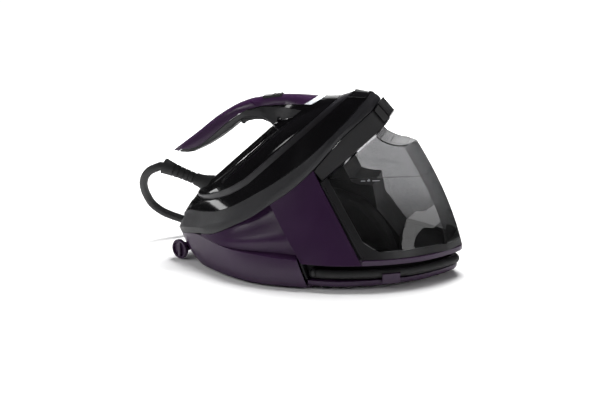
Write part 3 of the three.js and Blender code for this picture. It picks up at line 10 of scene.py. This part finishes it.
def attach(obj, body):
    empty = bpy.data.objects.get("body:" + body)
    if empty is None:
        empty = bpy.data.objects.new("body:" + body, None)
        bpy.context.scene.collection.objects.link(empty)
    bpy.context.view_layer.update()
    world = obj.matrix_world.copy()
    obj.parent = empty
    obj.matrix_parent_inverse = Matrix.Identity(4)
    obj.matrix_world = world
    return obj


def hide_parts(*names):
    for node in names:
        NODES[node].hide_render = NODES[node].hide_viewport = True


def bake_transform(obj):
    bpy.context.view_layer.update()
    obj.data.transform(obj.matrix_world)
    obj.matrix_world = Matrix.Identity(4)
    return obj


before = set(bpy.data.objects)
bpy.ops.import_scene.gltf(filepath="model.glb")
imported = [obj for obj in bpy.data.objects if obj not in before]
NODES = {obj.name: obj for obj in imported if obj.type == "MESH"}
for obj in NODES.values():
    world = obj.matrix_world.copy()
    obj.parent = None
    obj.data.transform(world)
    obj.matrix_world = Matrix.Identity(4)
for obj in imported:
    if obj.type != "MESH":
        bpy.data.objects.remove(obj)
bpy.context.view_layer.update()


def in_scene(name, data):
    """A new object in the scene for a mesh, a camera or a lamp."""
    made = bpy.data.objects.new(name, data)
    bpy.context.scene.collection.objects.link(made)
    return made


def look_at(thing, place, aim):
    """Puts a camera or a lamp at a place and turns it to its aim."""
    thing.location = place
    thing.rotation_mode = "QUATERNION"
    thing.rotation_quaternion = (Vector(aim) - Vector(place)).to_track_quat("-Z", "Y")


# Camera: the photograph's view

AZIMUTH, ELEVATION, DISTANCE = math.radians(12.4), math.radians(16), 1.5
TARGET = Vector((-0.012795, 0, 0.09418))
BACK = Vector((
    math.sin(AZIMUTH) * math.cos(ELEVATION),
    -math.cos(AZIMUTH) * math.cos(ELEVATION),
    math.sin(ELEVATION),
))

camera_data = bpy.data.cameras.new("camera")
camera_data.sensor_width = 36
camera_data.lens = 60.03
camera_data.clip_end = 30
camera = in_scene("camera", camera_data)
look_at(camera, TARGET + BACK * DISTANCE, TARGET)
bpy.context.scene.camera = camera
bpy.context.scene.view_settings.view_transform = "Standard"


# Mesh helpers

SPAN_STEPS = 40  # fine steps of a smooth path between two of its given points
WELD_DISTANCE = 0.00002


def mesh_object(name, vertices, faces, smooth=True):
    mesh = bpy.data.meshes.new(name)
    mesh.from_pydata([tuple(v) for v in vertices], [], faces)
    mesh.validate()
    bm = bmesh.new()
    bm.from_mesh(mesh)
    bmesh.ops.recalc_face_normals(bm, faces=bm.faces)
    bm.to_mesh(mesh)
    bm.free()
    mesh.polygons.foreach_set("use_smooth", [smooth] * len(mesh.polygons))
    return in_scene(name, mesh)


def length_of(points):
    return sum((b - a).length for a, b in zip(points, points[1:]))


def smooth_path(points, steps):
    """Points evenly along a centripetal Catmull-Rom curve through the given ones."""
    points = [Vector(p) for p in points]
    ends = [points[0] * 2 - points[1], *points, points[-1] * 2 - points[-2]]
    fine = []
    for p0, p1, p2, p3 in zip(ends, ends[1:], ends[2:], ends[3:]):
        t = [0.0]
        for a, b in ((p0, p1), (p1, p2), (p2, p3)):
            t.append(t[-1] + (b - a).length ** 0.5)
        for s in range(SPAN_STEPS):
            u = t[1] + (t[2] - t[1]) * s / SPAN_STEPS
            a1 = p0.lerp(p1, (u - t[0]) / (t[1] - t[0]))
            a2 = p1.lerp(p2, (u - t[1]) / (t[2] - t[1]))
            a3 = p2.lerp(p3, (u - t[2]) / (t[3] - t[2]))
            b1 = a1.lerp(a2, (u - t[0]) / (t[2] - t[0]))
            b2 = a2.lerp(a3, (u - t[1]) / (t[3] - t[1]))
            fine.append(b1.lerp(b2, (u - t[1]) / (t[2] - t[1])))
    fine.append(points[-1])
    total = length_of(fine)
    out, walked, k = [fine[0]], 0.0, 0
    for s in range(1, steps):
        want = total * s / steps
        while walked + (fine[k + 1] - fine[k]).length < want:
            walked += (fine[k + 1] - fine[k]).length
            k += 1
        out.append(fine[k].lerp(fine[k + 1], (want - walked) / (fine[k + 1] - fine[k]).length))
    return [*out, fine[-1]]


def sides_along(points):
    """Each point with two directions across the path, carried along it without twist."""
    found = []
    side = (points[1] - points[0]).cross(Vector((0, 0, 1)))
    for k, p in enumerate(points):
        along = (points[min(k + 1, len(points) - 1)] - points[max(k - 1, 0)]).normalized()
        side = (side - along * side.dot(along)).normalized()
        found.append((p, side, along.cross(side).normalized()))
    return found


def turns(sides):
    return [2 * math.pi * k / sides for k in range(sides)]


def ring_faces(rings, sides):
    """The faces between rings of corners, and the one that closes the first ring."""
    between = [
        (r * sides + s, r * sides + t, (r + 1) * sides + t, (r + 1) * sides + s)
        for r in range(rings - 1) for s, t in ((s, (s + 1) % sides) for s in range(sides))
    ]
    return [*between, tuple(reversed(range(sides)))]


def tube(name, points, radius, sides):
    """A round tube along the points, closed at both ends."""
    vertices = [
        p + u * (radius * math.cos(angle)) + v * (radius * math.sin(angle))
        for p, u, v in sides_along(points) for angle in turns(sides)
    ]
    last_ring = tuple(range(len(vertices) - sides, len(vertices)))
    return mesh_object(name, vertices, [*ring_faces(len(points), sides), last_ring])


def soften(piece, angle):
    """Smooth shading that keeps a CAD node's edges sharp where they turn more than the angle."""
    piece.data.polygons.foreach_set("use_smooth", [True] * len(piece.data.polygons))
    weld = piece.modifiers.new("weld", "WELD")
    weld.merge_threshold = WELD_DISTANCE
    split = piece.modifiers.new("split", "EDGE_SPLIT")
    split.split_angle = math.radians(angle)
    weigh = piece.modifiers.new("weigh", "WEIGHTED_NORMAL")
    weigh.keep_sharp = True
    weigh.weight = 60


# Hose: the free loop from the iron's heel to the groove, on the part's own route

HOSE_DIAMETER = 0.013
STOWED_HEIGHT = 0.0219  # the hose's middle where it lies in the groove
LOOP = [
    (-0.22706, 0, 0.13636), (-0.23012, 0, 0.13744), (-0.24027, 0.00096, 0.13346),
    (-0.25059, 0.00408, 0.1281), (-0.26048, 0.01008, 0.11819), (-0.26822, 0.01992, 0.10398),
    (-0.27123, 0.03, 0.09085), (-0.27123, 0.042, 0.07531), (-0.26736, 0.05208, 0.0603),
    (-0.25446, 0.06192, 0.04556), (-0.24156, 0.072, 0.03618), (-0.22952, 0.08112, 0.02894),
    (-0.20759, 0.096, 0.01608), (-0.17276, 0.11208, 0.00804), (-0.1332, 0.12504, 0.00724),
    (-0.09278, 0.132, 0.00697), (-0.05279, 0.13392, 0.00697), (-0.01796, 0.132, 0.00911),
    (0.01214, 0.12912, 0.01394), (0.03708, 0.12528, 0.01903), (0.06202, 0.12, 0.02171),
    (0.08899, 0.10042, STOWED_HEIGHT), (0.09488, 0.09849, STOWED_HEIGHT),
]
# The stowed stretch round the tank's end of the base, seen from above, repeated from the part
STOWED = [
    (0.0338, -0.1081), (0.0422, -0.1083), (0.0507, -0.1081), (0.0658, -0.1063), (0.0805, -0.1028),
    (0.0952, -0.0984), (0.1096, -0.0935), (0.1237, -0.0879), (0.1381, -0.081), (0.1533, -0.0728),
    (0.1676, -0.0635), (0.1817, -0.0516), (0.1955, -0.0372), (0.2069, -0.023), (0.2153, -0.0119),
    (0.2201, -0.003), (0.2206, 0), (0.2201, 0.003), (0.2153, 0.0119), (0.2069, 0.023),
    (0.1955, 0.0372), (0.1817, 0.0516), (0.1676, 0.0635), (0.1533, 0.0728), (0.1381, 0.081),
    (0.1237, 0.0879), (0.1096, 0.0935), (0.0952, 0.0984),
]

hose_route = smooth_path(LOOP, 260)
hose = tube("steam_hose", hose_route, HOSE_DIAMETER / 2, 28)
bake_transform(hose)
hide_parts("hose_loop")


# Materials

class Wiring:
    """An emptied node tree with a few short words for wiring it."""

    def __init__(self, tree, output):
        self.tree = tree
        tree.nodes.clear()
        self.output = self.node(output)

    def node(self, kind, **values):
        made = self.tree.nodes.new(kind)
        for key, value in values.items():
            setattr(made, key, value)
        return made

    def feed(self, value, socket):
        """Wires a socket to another one, or gives it a number, a vector or a colour."""
        if isinstance(value, bpy.types.NodeSocket):
            self.tree.links.new(value, socket)
        elif socket.type == "RGBA":
            socket.default_value = (*value, 1)
        else:
            socket.default_value = value

    def ramp(self, source, before, after, **values):
        """The source, its range before stretched to the range after and held at the ends."""
        made = self.node("ShaderNodeMapRange", **values)
        for name, (low, high) in (("From", before), ("To", after)):
            made.inputs[f"{name} Min"].default_value = low
            made.inputs[f"{name} Max"].default_value = high
        self.feed(source, made.inputs["Value"])
        return made.outputs[0]

    def maths(self, operation, a, b, clamp=False):
        made = self.node("ShaderNodeMath", operation=operation, use_clamp=clamp)
        self.feed(a, made.inputs[0])
        self.feed(b, made.inputs[1])
        return made.outputs[0]

    def mix(self, share, a, b):
        made = self.node("ShaderNodeMix", data_type="RGBA")
        for value, socket in zip((share, a, b), (made.inputs[0], made.inputs[6], made.inputs[7])):
            self.feed(value, socket)
        return made.outputs[2]

    def dot(self, a, b):
        made = self.node("ShaderNodeVectorMath", operation="DOT_PRODUCT")
        self.feed(a, made.inputs[0])
        self.feed(b, made.inputs[1])
        return made.outputs["Value"]

    def part(self, vector, axis):
        """One coordinate of a vector."""
        made = self.node("ShaderNodeSeparateXYZ")
        self.feed(vector, made.inputs[0])
        return made.outputs[axis]

    def straight(self, path):
        """1 for the camera's rays, also on through clear plastic, until they bounce off something rough."""
        unbounced = self.maths("LESS_THAN", path.outputs["Diffuse Depth"], 0.5)
        through = self.maths("MULTIPLY", path.outputs["Is Transmission Ray"], unbounced)
        return self.maths("MAXIMUM", path.outputs["Is Camera Ray"], through)


class Material(Wiring):
    """A new material with a principled shader, textured by the object's own coordinates."""

    def __init__(self, name):
        self.made = bpy.data.materials.new(name)
        self.made.use_nodes = True
        super().__init__(self.made.node_tree, "ShaderNodeOutputMaterial")
        self.shader = self.node("ShaderNodeBsdfPrincipled")
        self.finish(self.shader.outputs[0])
        self.place = self.node("ShaderNodeTexCoord").outputs["Object"]

    def finish(self, surface):
        self.feed(surface, self.output.inputs[0])

    def drive(self, **sources):
        """Wires the shader's sockets, such as base_color, to their sources."""
        for key, source in sources.items():
            self.feed(source, self.shader.inputs[key.replace("_", " ").title()])

    def set(self, **values):
        """Sets the shader's sockets, such as coat_weight, to one value for the whole surface."""
        for key, value in values.items():
            name = key.replace("_", " ").title().replace("Ior", "IOR")
            self.shader.inputs[name].default_value = value

    def noise(self, scale, detail, roughness, place=None, distortion=0.0):
        made = self.node("ShaderNodeTexNoise")
        made.inputs["Scale"].default_value = scale
        made.inputs["Detail"].default_value = detail
        made.inputs["Roughness"].default_value = roughness
        made.inputs["Distortion"].default_value = distortion
        self.feed(place or self.place, made.inputs["Vector"])
        return made.outputs[0]

    def cells(self, scale):
        made = self.node("ShaderNodeTexVoronoi")
        made.inputs["Scale"].default_value = scale
        self.feed(self.place, made.inputs["Vector"])
        return made.outputs["Distance"]

    def stretch(self, scales):
        made = self.node("ShaderNodeMapping")
        made.inputs["Scale"].default_value = scales
        self.feed(self.place, made.inputs["Vector"])
        return made.outputs[0]

    def edges(self, radius):
        """The normal rounded over sharp edges, and how much each place is an edge, from 0 to 1."""
        made = self.node("ShaderNodeBevel", samples=4)
        made.inputs["Radius"].default_value = radius
        plain = self.node("ShaderNodeNewGeometry").outputs["Normal"]
        return made.outputs[0], self.ramp(self.dot(made.outputs[0], plain), (1.0, 0.93), (0.0, 1.0))

    def bump(self, height, distance, normal=None):
        made = self.node("ShaderNodeBump")
        made.inputs["Strength"].default_value = 1.0
        made.inputs["Distance"].default_value = distance
        self.feed(height, made.inputs["Height"])
        if normal is not None:
            self.feed(normal, made.inputs["Normal"])
        return made.outputs[0]


def shade(colour, factor):
    return tuple(min(1.0, c * factor) for c in colour)


def plastic(
    name, colour, rough, *, grain=0.0, grain_size=0.0006, mottle=0.08, edge_light=1.6, edge_rough=0.1,
    level=0.5, coat=0.0, coat_rough=0.05, flakes=0.0, wave=0.0,
):
    """Moulded plastic: cloudy colour, a grain, rubbed edges, and the slow waves of a moulded wall."""
    g = Material(name)
    normal, edge = g.edges(radius=0.0007)
    cloud = g.noise(17, detail=4, roughness=0.55)
    fine = g.noise(0.35 / grain_size, detail=2, roughness=0.6)
    base = g.mix(g.ramp(cloud, (0.3, 0.7), (0, 1)), shade(colour, 1 - mottle), shade(colour, 1 + mottle))
    base = g.mix(g.ramp(fine, (0.35, 0.65), (0, 0.35)), base, shade(colour, 0.82))
    if flakes:
        spark = g.ramp(g.cells(2600), (0.16, 0.05), (0, flakes))
        base = g.mix(spark, base, shade(colour, 3.2))
    worn = g.ramp(g.noise(95, detail=3, roughness=0.6), (0.35, 0.65), (0.25, 1.0))
    rubbed = g.maths("MULTIPLY", edge, worn)
    base = g.mix(g.maths("MULTIPLY", rubbed, 0.55), base, shade(colour, edge_light))
    smudge = g.noise(38, detail=5, roughness=0.65, distortion=0.4)
    roughness = g.ramp(smudge, (0.3, 0.7), (rough * 0.86, rough * 1.16))
    roughness = g.maths("ADD", roughness, g.maths("MULTIPLY", rubbed, edge_rough), clamp=True)
    if wave:
        normal = g.bump(g.noise(26, detail=1, roughness=0.4), wave, normal)
    if grain:
        pits = g.maths("MULTIPLY", g.cells(1 / grain_size), 0.6)
        normal = g.bump(g.maths("ADD", pits, fine), grain, normal)
    g.drive(base_color=base, roughness=roughness, normal=normal)
    g.set(specular_ior_level=level, coat_weight=coat, coat_roughness=coat_rough)
    return g.made


def rubber(name, colour, rough):
    """Soft rubber or silicone with a dusty, uneven bloom."""
    g = Material(name)
    normal, edge = g.edges(radius=0.0009)
    bloom = g.noise(60, detail=5, roughness=0.65)
    fine = g.noise(900, detail=3, roughness=0.6)
    base = g.mix(g.ramp(bloom, (0.3, 0.75), (0, 1)), colour, shade(colour, 1.45))
    base = g.mix(g.maths("MULTIPLY", edge, 0.5), base, shade(colour, 1.8))
    roughness = g.ramp(fine, (0.3, 0.7), (rough - 0.06, rough + 0.06))
    g.drive(base_color=base, roughness=roughness, normal=g.bump(fine, 0.00004, normal))
    g.set(specular_ior_level=0.4)
    return g.made


def metal(name, colour, rough, *, lines=(1, 1, 1), tarnish=0.2, dull=None):
    """Drawn, ground or turned metal with fine lines along one direction and a light tarnish."""
    g = Material(name)
    normal, edge = g.edges(radius=0.0005)
    drawn = g.noise(900, detail=3, roughness=0.6, place=g.stretch(lines))
    cloud = g.noise(30, detail=5, roughness=0.6)
    base = g.mix(g.ramp(cloud, (0.35, 0.75), (0, tarnish)), colour, dull or shade(colour, 0.55))
    base = g.mix(g.maths("MULTIPLY", edge, 0.4), base, shade(colour, 1.25))
    roughness = g.ramp(drawn, (0.3, 0.7), (rough * 0.75, rough * 1.3))
    g.drive(base_color=base, roughness=roughness, normal=g.bump(drawn, 0.000015, normal))
    g.set(metallic=1.0)
    return g.made


def smoked(name, colour, tint):
    """See-through smoked plastic, lightly scuffed, with painted shade on the tank's end faces and foot;
    lamp light passes it, tinted.
    """
    g = Material(name)
    scuff = g.noise(260, detail=4, roughness=0.7, place=g.stretch((1, 1, 0.25)))
    haze = g.noise(14, detail=3, roughness=0.5)
    slant = g.node("ShaderNodeLayerWeight")
    slant.inputs["Blend"].default_value = 0.35
    even = g.mix(g.ramp(haze, (0.3, 0.7), (0, 1)), shade(colour, 0.96), shade(colour, 1.04))
    tinted = g.mix(slant.outputs["Facing"], even, shade(colour, 0.55))
    # Painted shade: darker on the faces of the tank's end, and towards its foot
    turned = g.part(g.node("ShaderNodeTexCoord").outputs["Normal"], "X")
    tinted = g.mix(g.ramp(turned, (0.68, 0.74), (0.0, 1.0)), tinted, shade(colour, 0.45))
    # Painted shade towards the tank's foot, from the height
    painted_foot_shade = g.ramp(g.part(g.place, "Z"), (0.13, 0.055), (0.0, 0.8))
    g.drive(
        base_color=g.mix(painted_foot_shade, tinted, shade(colour, 0.30)),
        roughness=g.ramp(scuff, (0.45, 0.8), (0.005, 0.03)),
        normal=g.bump(g.noise(14, detail=1, roughness=0.4), 0.00006),
    )
    g.set(transmission_weight=1.0, ior=1.3, specular_ior_level=0.5)
    clear = g.node("ShaderNodeBsdfTransparent")
    g.feed(tint, clear.inputs[0])
    both = g.node("ShaderNodeMixShader")
    g.feed(g.node("ShaderNodeLightPath").outputs["Is Shadow Ray"], both.inputs[0])
    g.feed(g.shader.outputs[0], both.inputs[1])
    g.feed(clear.outputs[0], both.inputs[2])
    g.finish(both.outputs[0])
    return g.made


PURPLE = (0.031, 0.0115, 0.040)
DARK = (0.017, 0.0165, 0.019)
BLACK = (0.0036, 0.0033, 0.0040)

purple = plastic(
    "aubergine_shell", PURPLE, 0.34, grain=0.000012, grain_size=0.0005, mottle=0.07, edge_light=1.9,
    flakes=0.35, wave=0.00025, level=0.34,
)
purple_grip = plastic(
    "aubergine_grip", PURPLE, 0.30, grain=0.000008, grain_size=0.0004, mottle=0.05, edge_light=1.8,
    flakes=0.35, wave=0.0002, level=0.4, coat=0.12, coat_rough=0.16,
)
matte = plastic(
    "grained_dark_plastic", DARK, 0.50, grain=0.00016, grain_size=0.0015, mottle=0.10, edge_light=1.7,
    edge_rough=-0.1,
)
neck_dark = plastic(
    "neck_dark", (0.027, 0.0265, 0.028), 0.46, grain=0.00005, grain_size=0.0009, mottle=0.10,
    edge_light=1.3, edge_rough=-0.1,
)
gloss = plastic("polished_black", BLACK, 0.10, mottle=0.12, edge_light=2.6, edge_rough=0.15, wave=0.0003)
black = plastic(
    "satin_black", (0.0095, 0.0090, 0.0105), 0.42, grain=0.00003, grain_size=0.0006, mottle=0.1,
    edge_light=2.2,
)
skirt_dark = plastic(
    "skirt_dark", (0.020, 0.019, 0.022), 0.33, grain=0.00002, grain_size=0.0005, mottle=0.08,
    edge_light=2.4,
)
black_rubber = rubber("black_rubber", (0.012, 0.012, 0.0125), 0.62)
grey_silicone = rubber("grey_silicone", (0.035, 0.035, 0.038), 0.6)
tank_clear = smoked("smoked_tank", (0.37, 0.37, 0.375), (0.55, 0.55, 0.55))
trim = plastic("light_trim", (0.80, 0.83, 0.87), 0.22, mottle=0.03, edge_light=1.05, coat=0.4)
aluminium = metal("ground_aluminium", (0.55, 0.56, 0.58), 0.30, lines=(0.05, 1, 1))
steel = metal("drawn_steel", (0.60, 0.61, 0.62), 0.26, lines=(1, 1, 0.06))
brass = metal("turned_brass", (0.62, 0.45, 0.18), 0.28, lines=(1, 1, 0.1), dull=(0.25, 0.16, 0.07))
copper = metal("element_sheath", (0.48, 0.22, 0.13), 0.42, tarnish=0.7, dull=(0.16, 0.08, 0.06))
board = plastic("solder_mask", (0.012, 0.075, 0.035), 0.35, mottle=0.15, edge_light=1.5, coat=0.5)

SLOTS = {
    "purple_plastic": purple, "matte_dark_plastic": matte, "gloss_black_plastic": gloss,
    "black_plastic": black, "rubber": black_rubber, "smoked_tank": tank_clear, "light_trim": trim,
    "aluminium": aluminium, "steel": steel, "brass": brass, "copper_element": copper,
    "circuit_board": board, "silicone": grey_silicone,
}
# Nodes whose look differs from their slot's: the photograph shows no brass through the tank
OWN = {
    "handle_cover": purple_grip, "skirt": skirt_dark, "neck_housing": neck_dark,
    "water_spigot": black, "tank_valve": black,
}
RIDGED = ("tank_vessel", "tank_cover")  # crisp, shallow ridges
PLAIN_ANGLE, RIDGED_ANGLE = 32, 9

for name, node in NODES.items():
    if node.hide_render:
        continue
    slot = next(s.name for s in node.material_slots if s.material).split(".")[0]
    node.data.materials.clear()
    node.data.materials.append(OWN.get(name) or SLOTS[slot])
    soften(node, RIDGED_ANGLE if name in RIDGED else PLAIN_ANGLE)

hose.data.materials.append(black_rubber)

stowed_route = smooth_path([(x, y, STOWED_HEIGHT) for x, y in STOWED], 200)
stowed = tube("groove_hose", stowed_route, HOSE_DIAMETER / 2, 24)
stowed.data.materials.append(black_rubber)
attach(stowed, "base")
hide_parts("stowed_hose")


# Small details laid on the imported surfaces: button icons, status lights and the tank's level mark

PANEL_OUT = Vector((-0.8, 0, 0.6))  # the control panel's outward direction
LINE = 0.00028  # half the thickness of a printed line
RIM_DEPTH = 0.0002
LIGHT_RADIUS, LIGHT_HEIGHT, LIGHT_SIDES = 0.0011, 0.0005, 20
LIGHT_PROFILE = [(1.0, -0.3), (1.0, 0.25), (0.8, 0.7), (0.45, 0.95)]  # shares of radius and height
LIGHT_SHARES = (0.36, 0.5, 0.64)  # of the way from one button to the other
CLEAR_OF_PANEL = 0.03
MARK_Z = 0.1477
BESIDE = -0.2  # the y of a place beside the tank, clear of it
MARKS = {
    "level_dash_heel": [(0.0885, 0), (0.0915, 0), (0.0945, 0)],
    "level_arrow": [(0.0975, 0), (0.0993, 0.0022), (0.1011, 0), (0.0993, 0), (0.0975, 0)],
    "level_dash_end": [(0.104, 0), (0.109, 0), (0.114, 0)],
}


def corners_of(name):
    node = NODES[name]
    return [node.matrix_world @ v.co for v in node.data.vertices]


def surface(name):
    """A tree of a CAD node's faces, to find points on it."""
    return BVHTree.FromPolygons(corners_of(name), [tuple(f.vertices) for f in NODES[name].data.polygons])


def fit(piece, body):
    """Gives a small detail the pale trim and the body that it moves with."""
    piece.data.materials.append(trim)
    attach(piece, body)


def status_light(name, centre):
    """A shallow lens on the control panel, its foot sunk a little into it."""
    side = PANEL_OUT.cross(Vector((0, 1, 0.01))).normalized()
    other = PANEL_OUT.cross(side)
    vertices = [
        centre + (side * math.cos(a) + other * math.sin(a)) * (LIGHT_RADIUS * r)
        + PANEL_OUT * (LIGHT_HEIGHT * h)
        for r, h in LIGHT_PROFILE for a in turns(LIGHT_SIDES)
    ]
    top = len(vertices)
    last = top - LIGHT_SIDES
    vertices.append(centre + PANEL_OUT * LIGHT_HEIGHT)
    crown = [(last + k, last + (k + 1) % LIGHT_SIDES, top) for k in range(LIGHT_SIDES)]
    fit(mesh_object(name, vertices, [*ring_faces(len(LIGHT_PROFILE), LIGHT_SIDES), *crown]), "base")


def button_top(name):
    """The middle of a button's outer face."""
    spots = corners_of(name)
    far = max(p.dot(PANEL_OUT) for p in spots)
    rim = [p for p in spots if p.dot(PANEL_OUT) > far - RIM_DEPTH]
    return sum(rim, Vector()) / len(rim)


def icon(name, centre, shape, body):
    """A printed line on a button, from points across and up it in millimetres."""
    across = Vector((0, -1, 0))
    up = PANEL_OUT.cross(across)
    points = [centre + across * (x / 1000) + up * (y / 1000) for x, y in shape]
    fit(tube(name, points, LINE, 10), body)


def arc(radius, start, end, squeeze=1.0):
    """Points of an arc, its angles in degrees from straight up, squeezed across."""
    steps = 36
    angles = [math.radians(start + (end - start) * k / steps) for k in range(steps + 1)]
    return [(radius * squeeze * math.sin(a), radius * math.cos(a)) for a in angles]


power, low_power = button_top("power_button"), button_top("eco_button")
icon("power_icon_ring", power, arc(2.6, 35, 325), "power_key")
icon("power_icon_bar", power, [(0, 0.6), (0, 1.6), (0, 3.2)], "power_key")
icon("low_power_icon_leaf", low_power, [(0, 3), *arc(2.2, 40, 320, squeeze=0.8), (0, 3)], "low_power_key")
icon("low_power_icon_vein", low_power, [(0, -3.1), (0, -1.2), (0.2, 0.8)], "low_power_key")

panel = surface("control_panel")
for k, share in enumerate(LIGHT_SHARES):
    above = power.lerp(low_power, share) + PANEL_OUT * CLEAR_OF_PANEL
    status_light(f"status_light_{k + 1}", panel.ray_cast(above, -PANEL_OUT)[0])

vessel = surface("tank_vessel")
for name, spots in MARKS.items():
    starts = [Vector((x, BESIDE, MARK_Z + rise)) for x, rise in spots]
    fit(tube(name, [vessel.ray_cast(start, Vector((0, 1, 0)))[0] for start in starts], LINE, 8), "tank")


# Floor: pale, with the object's shadow; further off it glows white for the camera, as in the photograph

REACH = 40
GLOW_FROM, GLOW_FULL = 0.35, 1.4  # distances from the object's middle

corners = [(-REACH, -REACH, 0), (REACH, -REACH, 0), (REACH, REACH, 0), (-REACH, REACH, 0)]
floor = mesh_object("floor", corners, [(0, 1, 2, 3)], smooth=False)
g = Material("pale_floor")
g.drive(base_color=g.mix(g.noise(3, detail=3, roughness=0.5), (0.93, 0.93, 0.935), (0.95, 0.95, 0.95)))
g.set(roughness=0.9, specular_ior_level=0.2)
away = g.node("ShaderNodeVectorMath", operation="LENGTH")
g.feed(g.place, away.inputs[0])
far = g.ramp(away.outputs["Value"], (GLOW_FROM, GLOW_FULL), (0.0, 1.0))
glow = g.node("ShaderNodeEmission")
g.feed(g.maths("MULTIPLY", g.straight(g.node("ShaderNodeLightPath")), far), glow.inputs["Strength"])
total = g.node("ShaderNodeAddShader")
g.feed(g.shader.outputs[0], total.inputs[0])
g.feed(glow.outputs[0], total.inputs[1])
g.finish(total.outputs[0])
floor.data.materials.append(g.made)


# World: white behind the object for the camera and through clear plastic; gloss shows that backdrop
# in a dim room, and every other ray meets a faint even light.

BACKDROP_WAY = (-0.21, 0.97, 0.05)
BACKDROP_EDGE = (0.90, 0.985)  # cosines from that direction at which it begins and is full
DIM_ROOM, EVEN_LIGHT = 0.03, 0.07

world = bpy.data.worlds.new("studio")
bpy.context.scene.world = world
world.use_nodes = True
w = Wiring(world.node_tree, "ShaderNodeOutputWorld")
path = w.node("ShaderNodeLightPath")
glossy = path.outputs["Is Glossy Ray"]
straight = w.straight(path)
facing = w.dot(w.node("ShaderNodeTexCoord").outputs["Generated"], BACKDROP_WAY)
backdrop = w.ramp(facing, BACKDROP_EDGE, (DIM_ROOM, 1.0), interpolation_type="SMOOTHSTEP")
shown = w.maths("MAXIMUM", straight, w.maths("MULTIPLY", glossy, backdrop))
others = w.maths("SUBTRACT", 1.0, w.maths("MAXIMUM", straight, glossy))
light = w.node("ShaderNodeBackground")
w.feed((1, 1, 1), light.inputs["Color"])
w.feed(w.maths("ADD", shown, w.maths("MULTIPLY", others, EVEN_LIGHT)), light.inputs["Strength"])
w.feed(light.outputs[0], w.output.inputs[0])


# Lamps

def softbox(name, place, aim, size, power, glossy=True):
    """A rectangular lamp, kept out of rays bent by the tank, and out of reflections unless glossy."""
    data = bpy.data.lights.new(name, "AREA")
    data.shape = "RECTANGLE"
    data.size, data.size_y = size
    data.energy = power
    lamp = in_scene(name, data)
    lamp.visible_transmission = False
    lamp.visible_glossy = glossy
    look_at(lamp, place, aim)


softbox("top", (0, 0.6, 1.6), (0, 0, 0.05), (1.0, 0.8), 54, glossy=False)
softbox("left_front", (-1.35, -0.75, 0.95), (0, 0, 0.12), (0.7, 0.7), 5, glossy=False)
softbox("heel_strip", (-1.25, 0.08, 0.43), (-0.13, -0.06, 0.1), (0.5, 0.16), 1.5)
softbox("scoop_light", (-0.69, -0.93, 0.83), (-0.05, -0.09, 0.08), (0.3, 0.3), 2)
softbox("right_strip", (1.3, -0.75, 0.6), (0.05, 0, 0.1), (0.22, 0.8), 3)
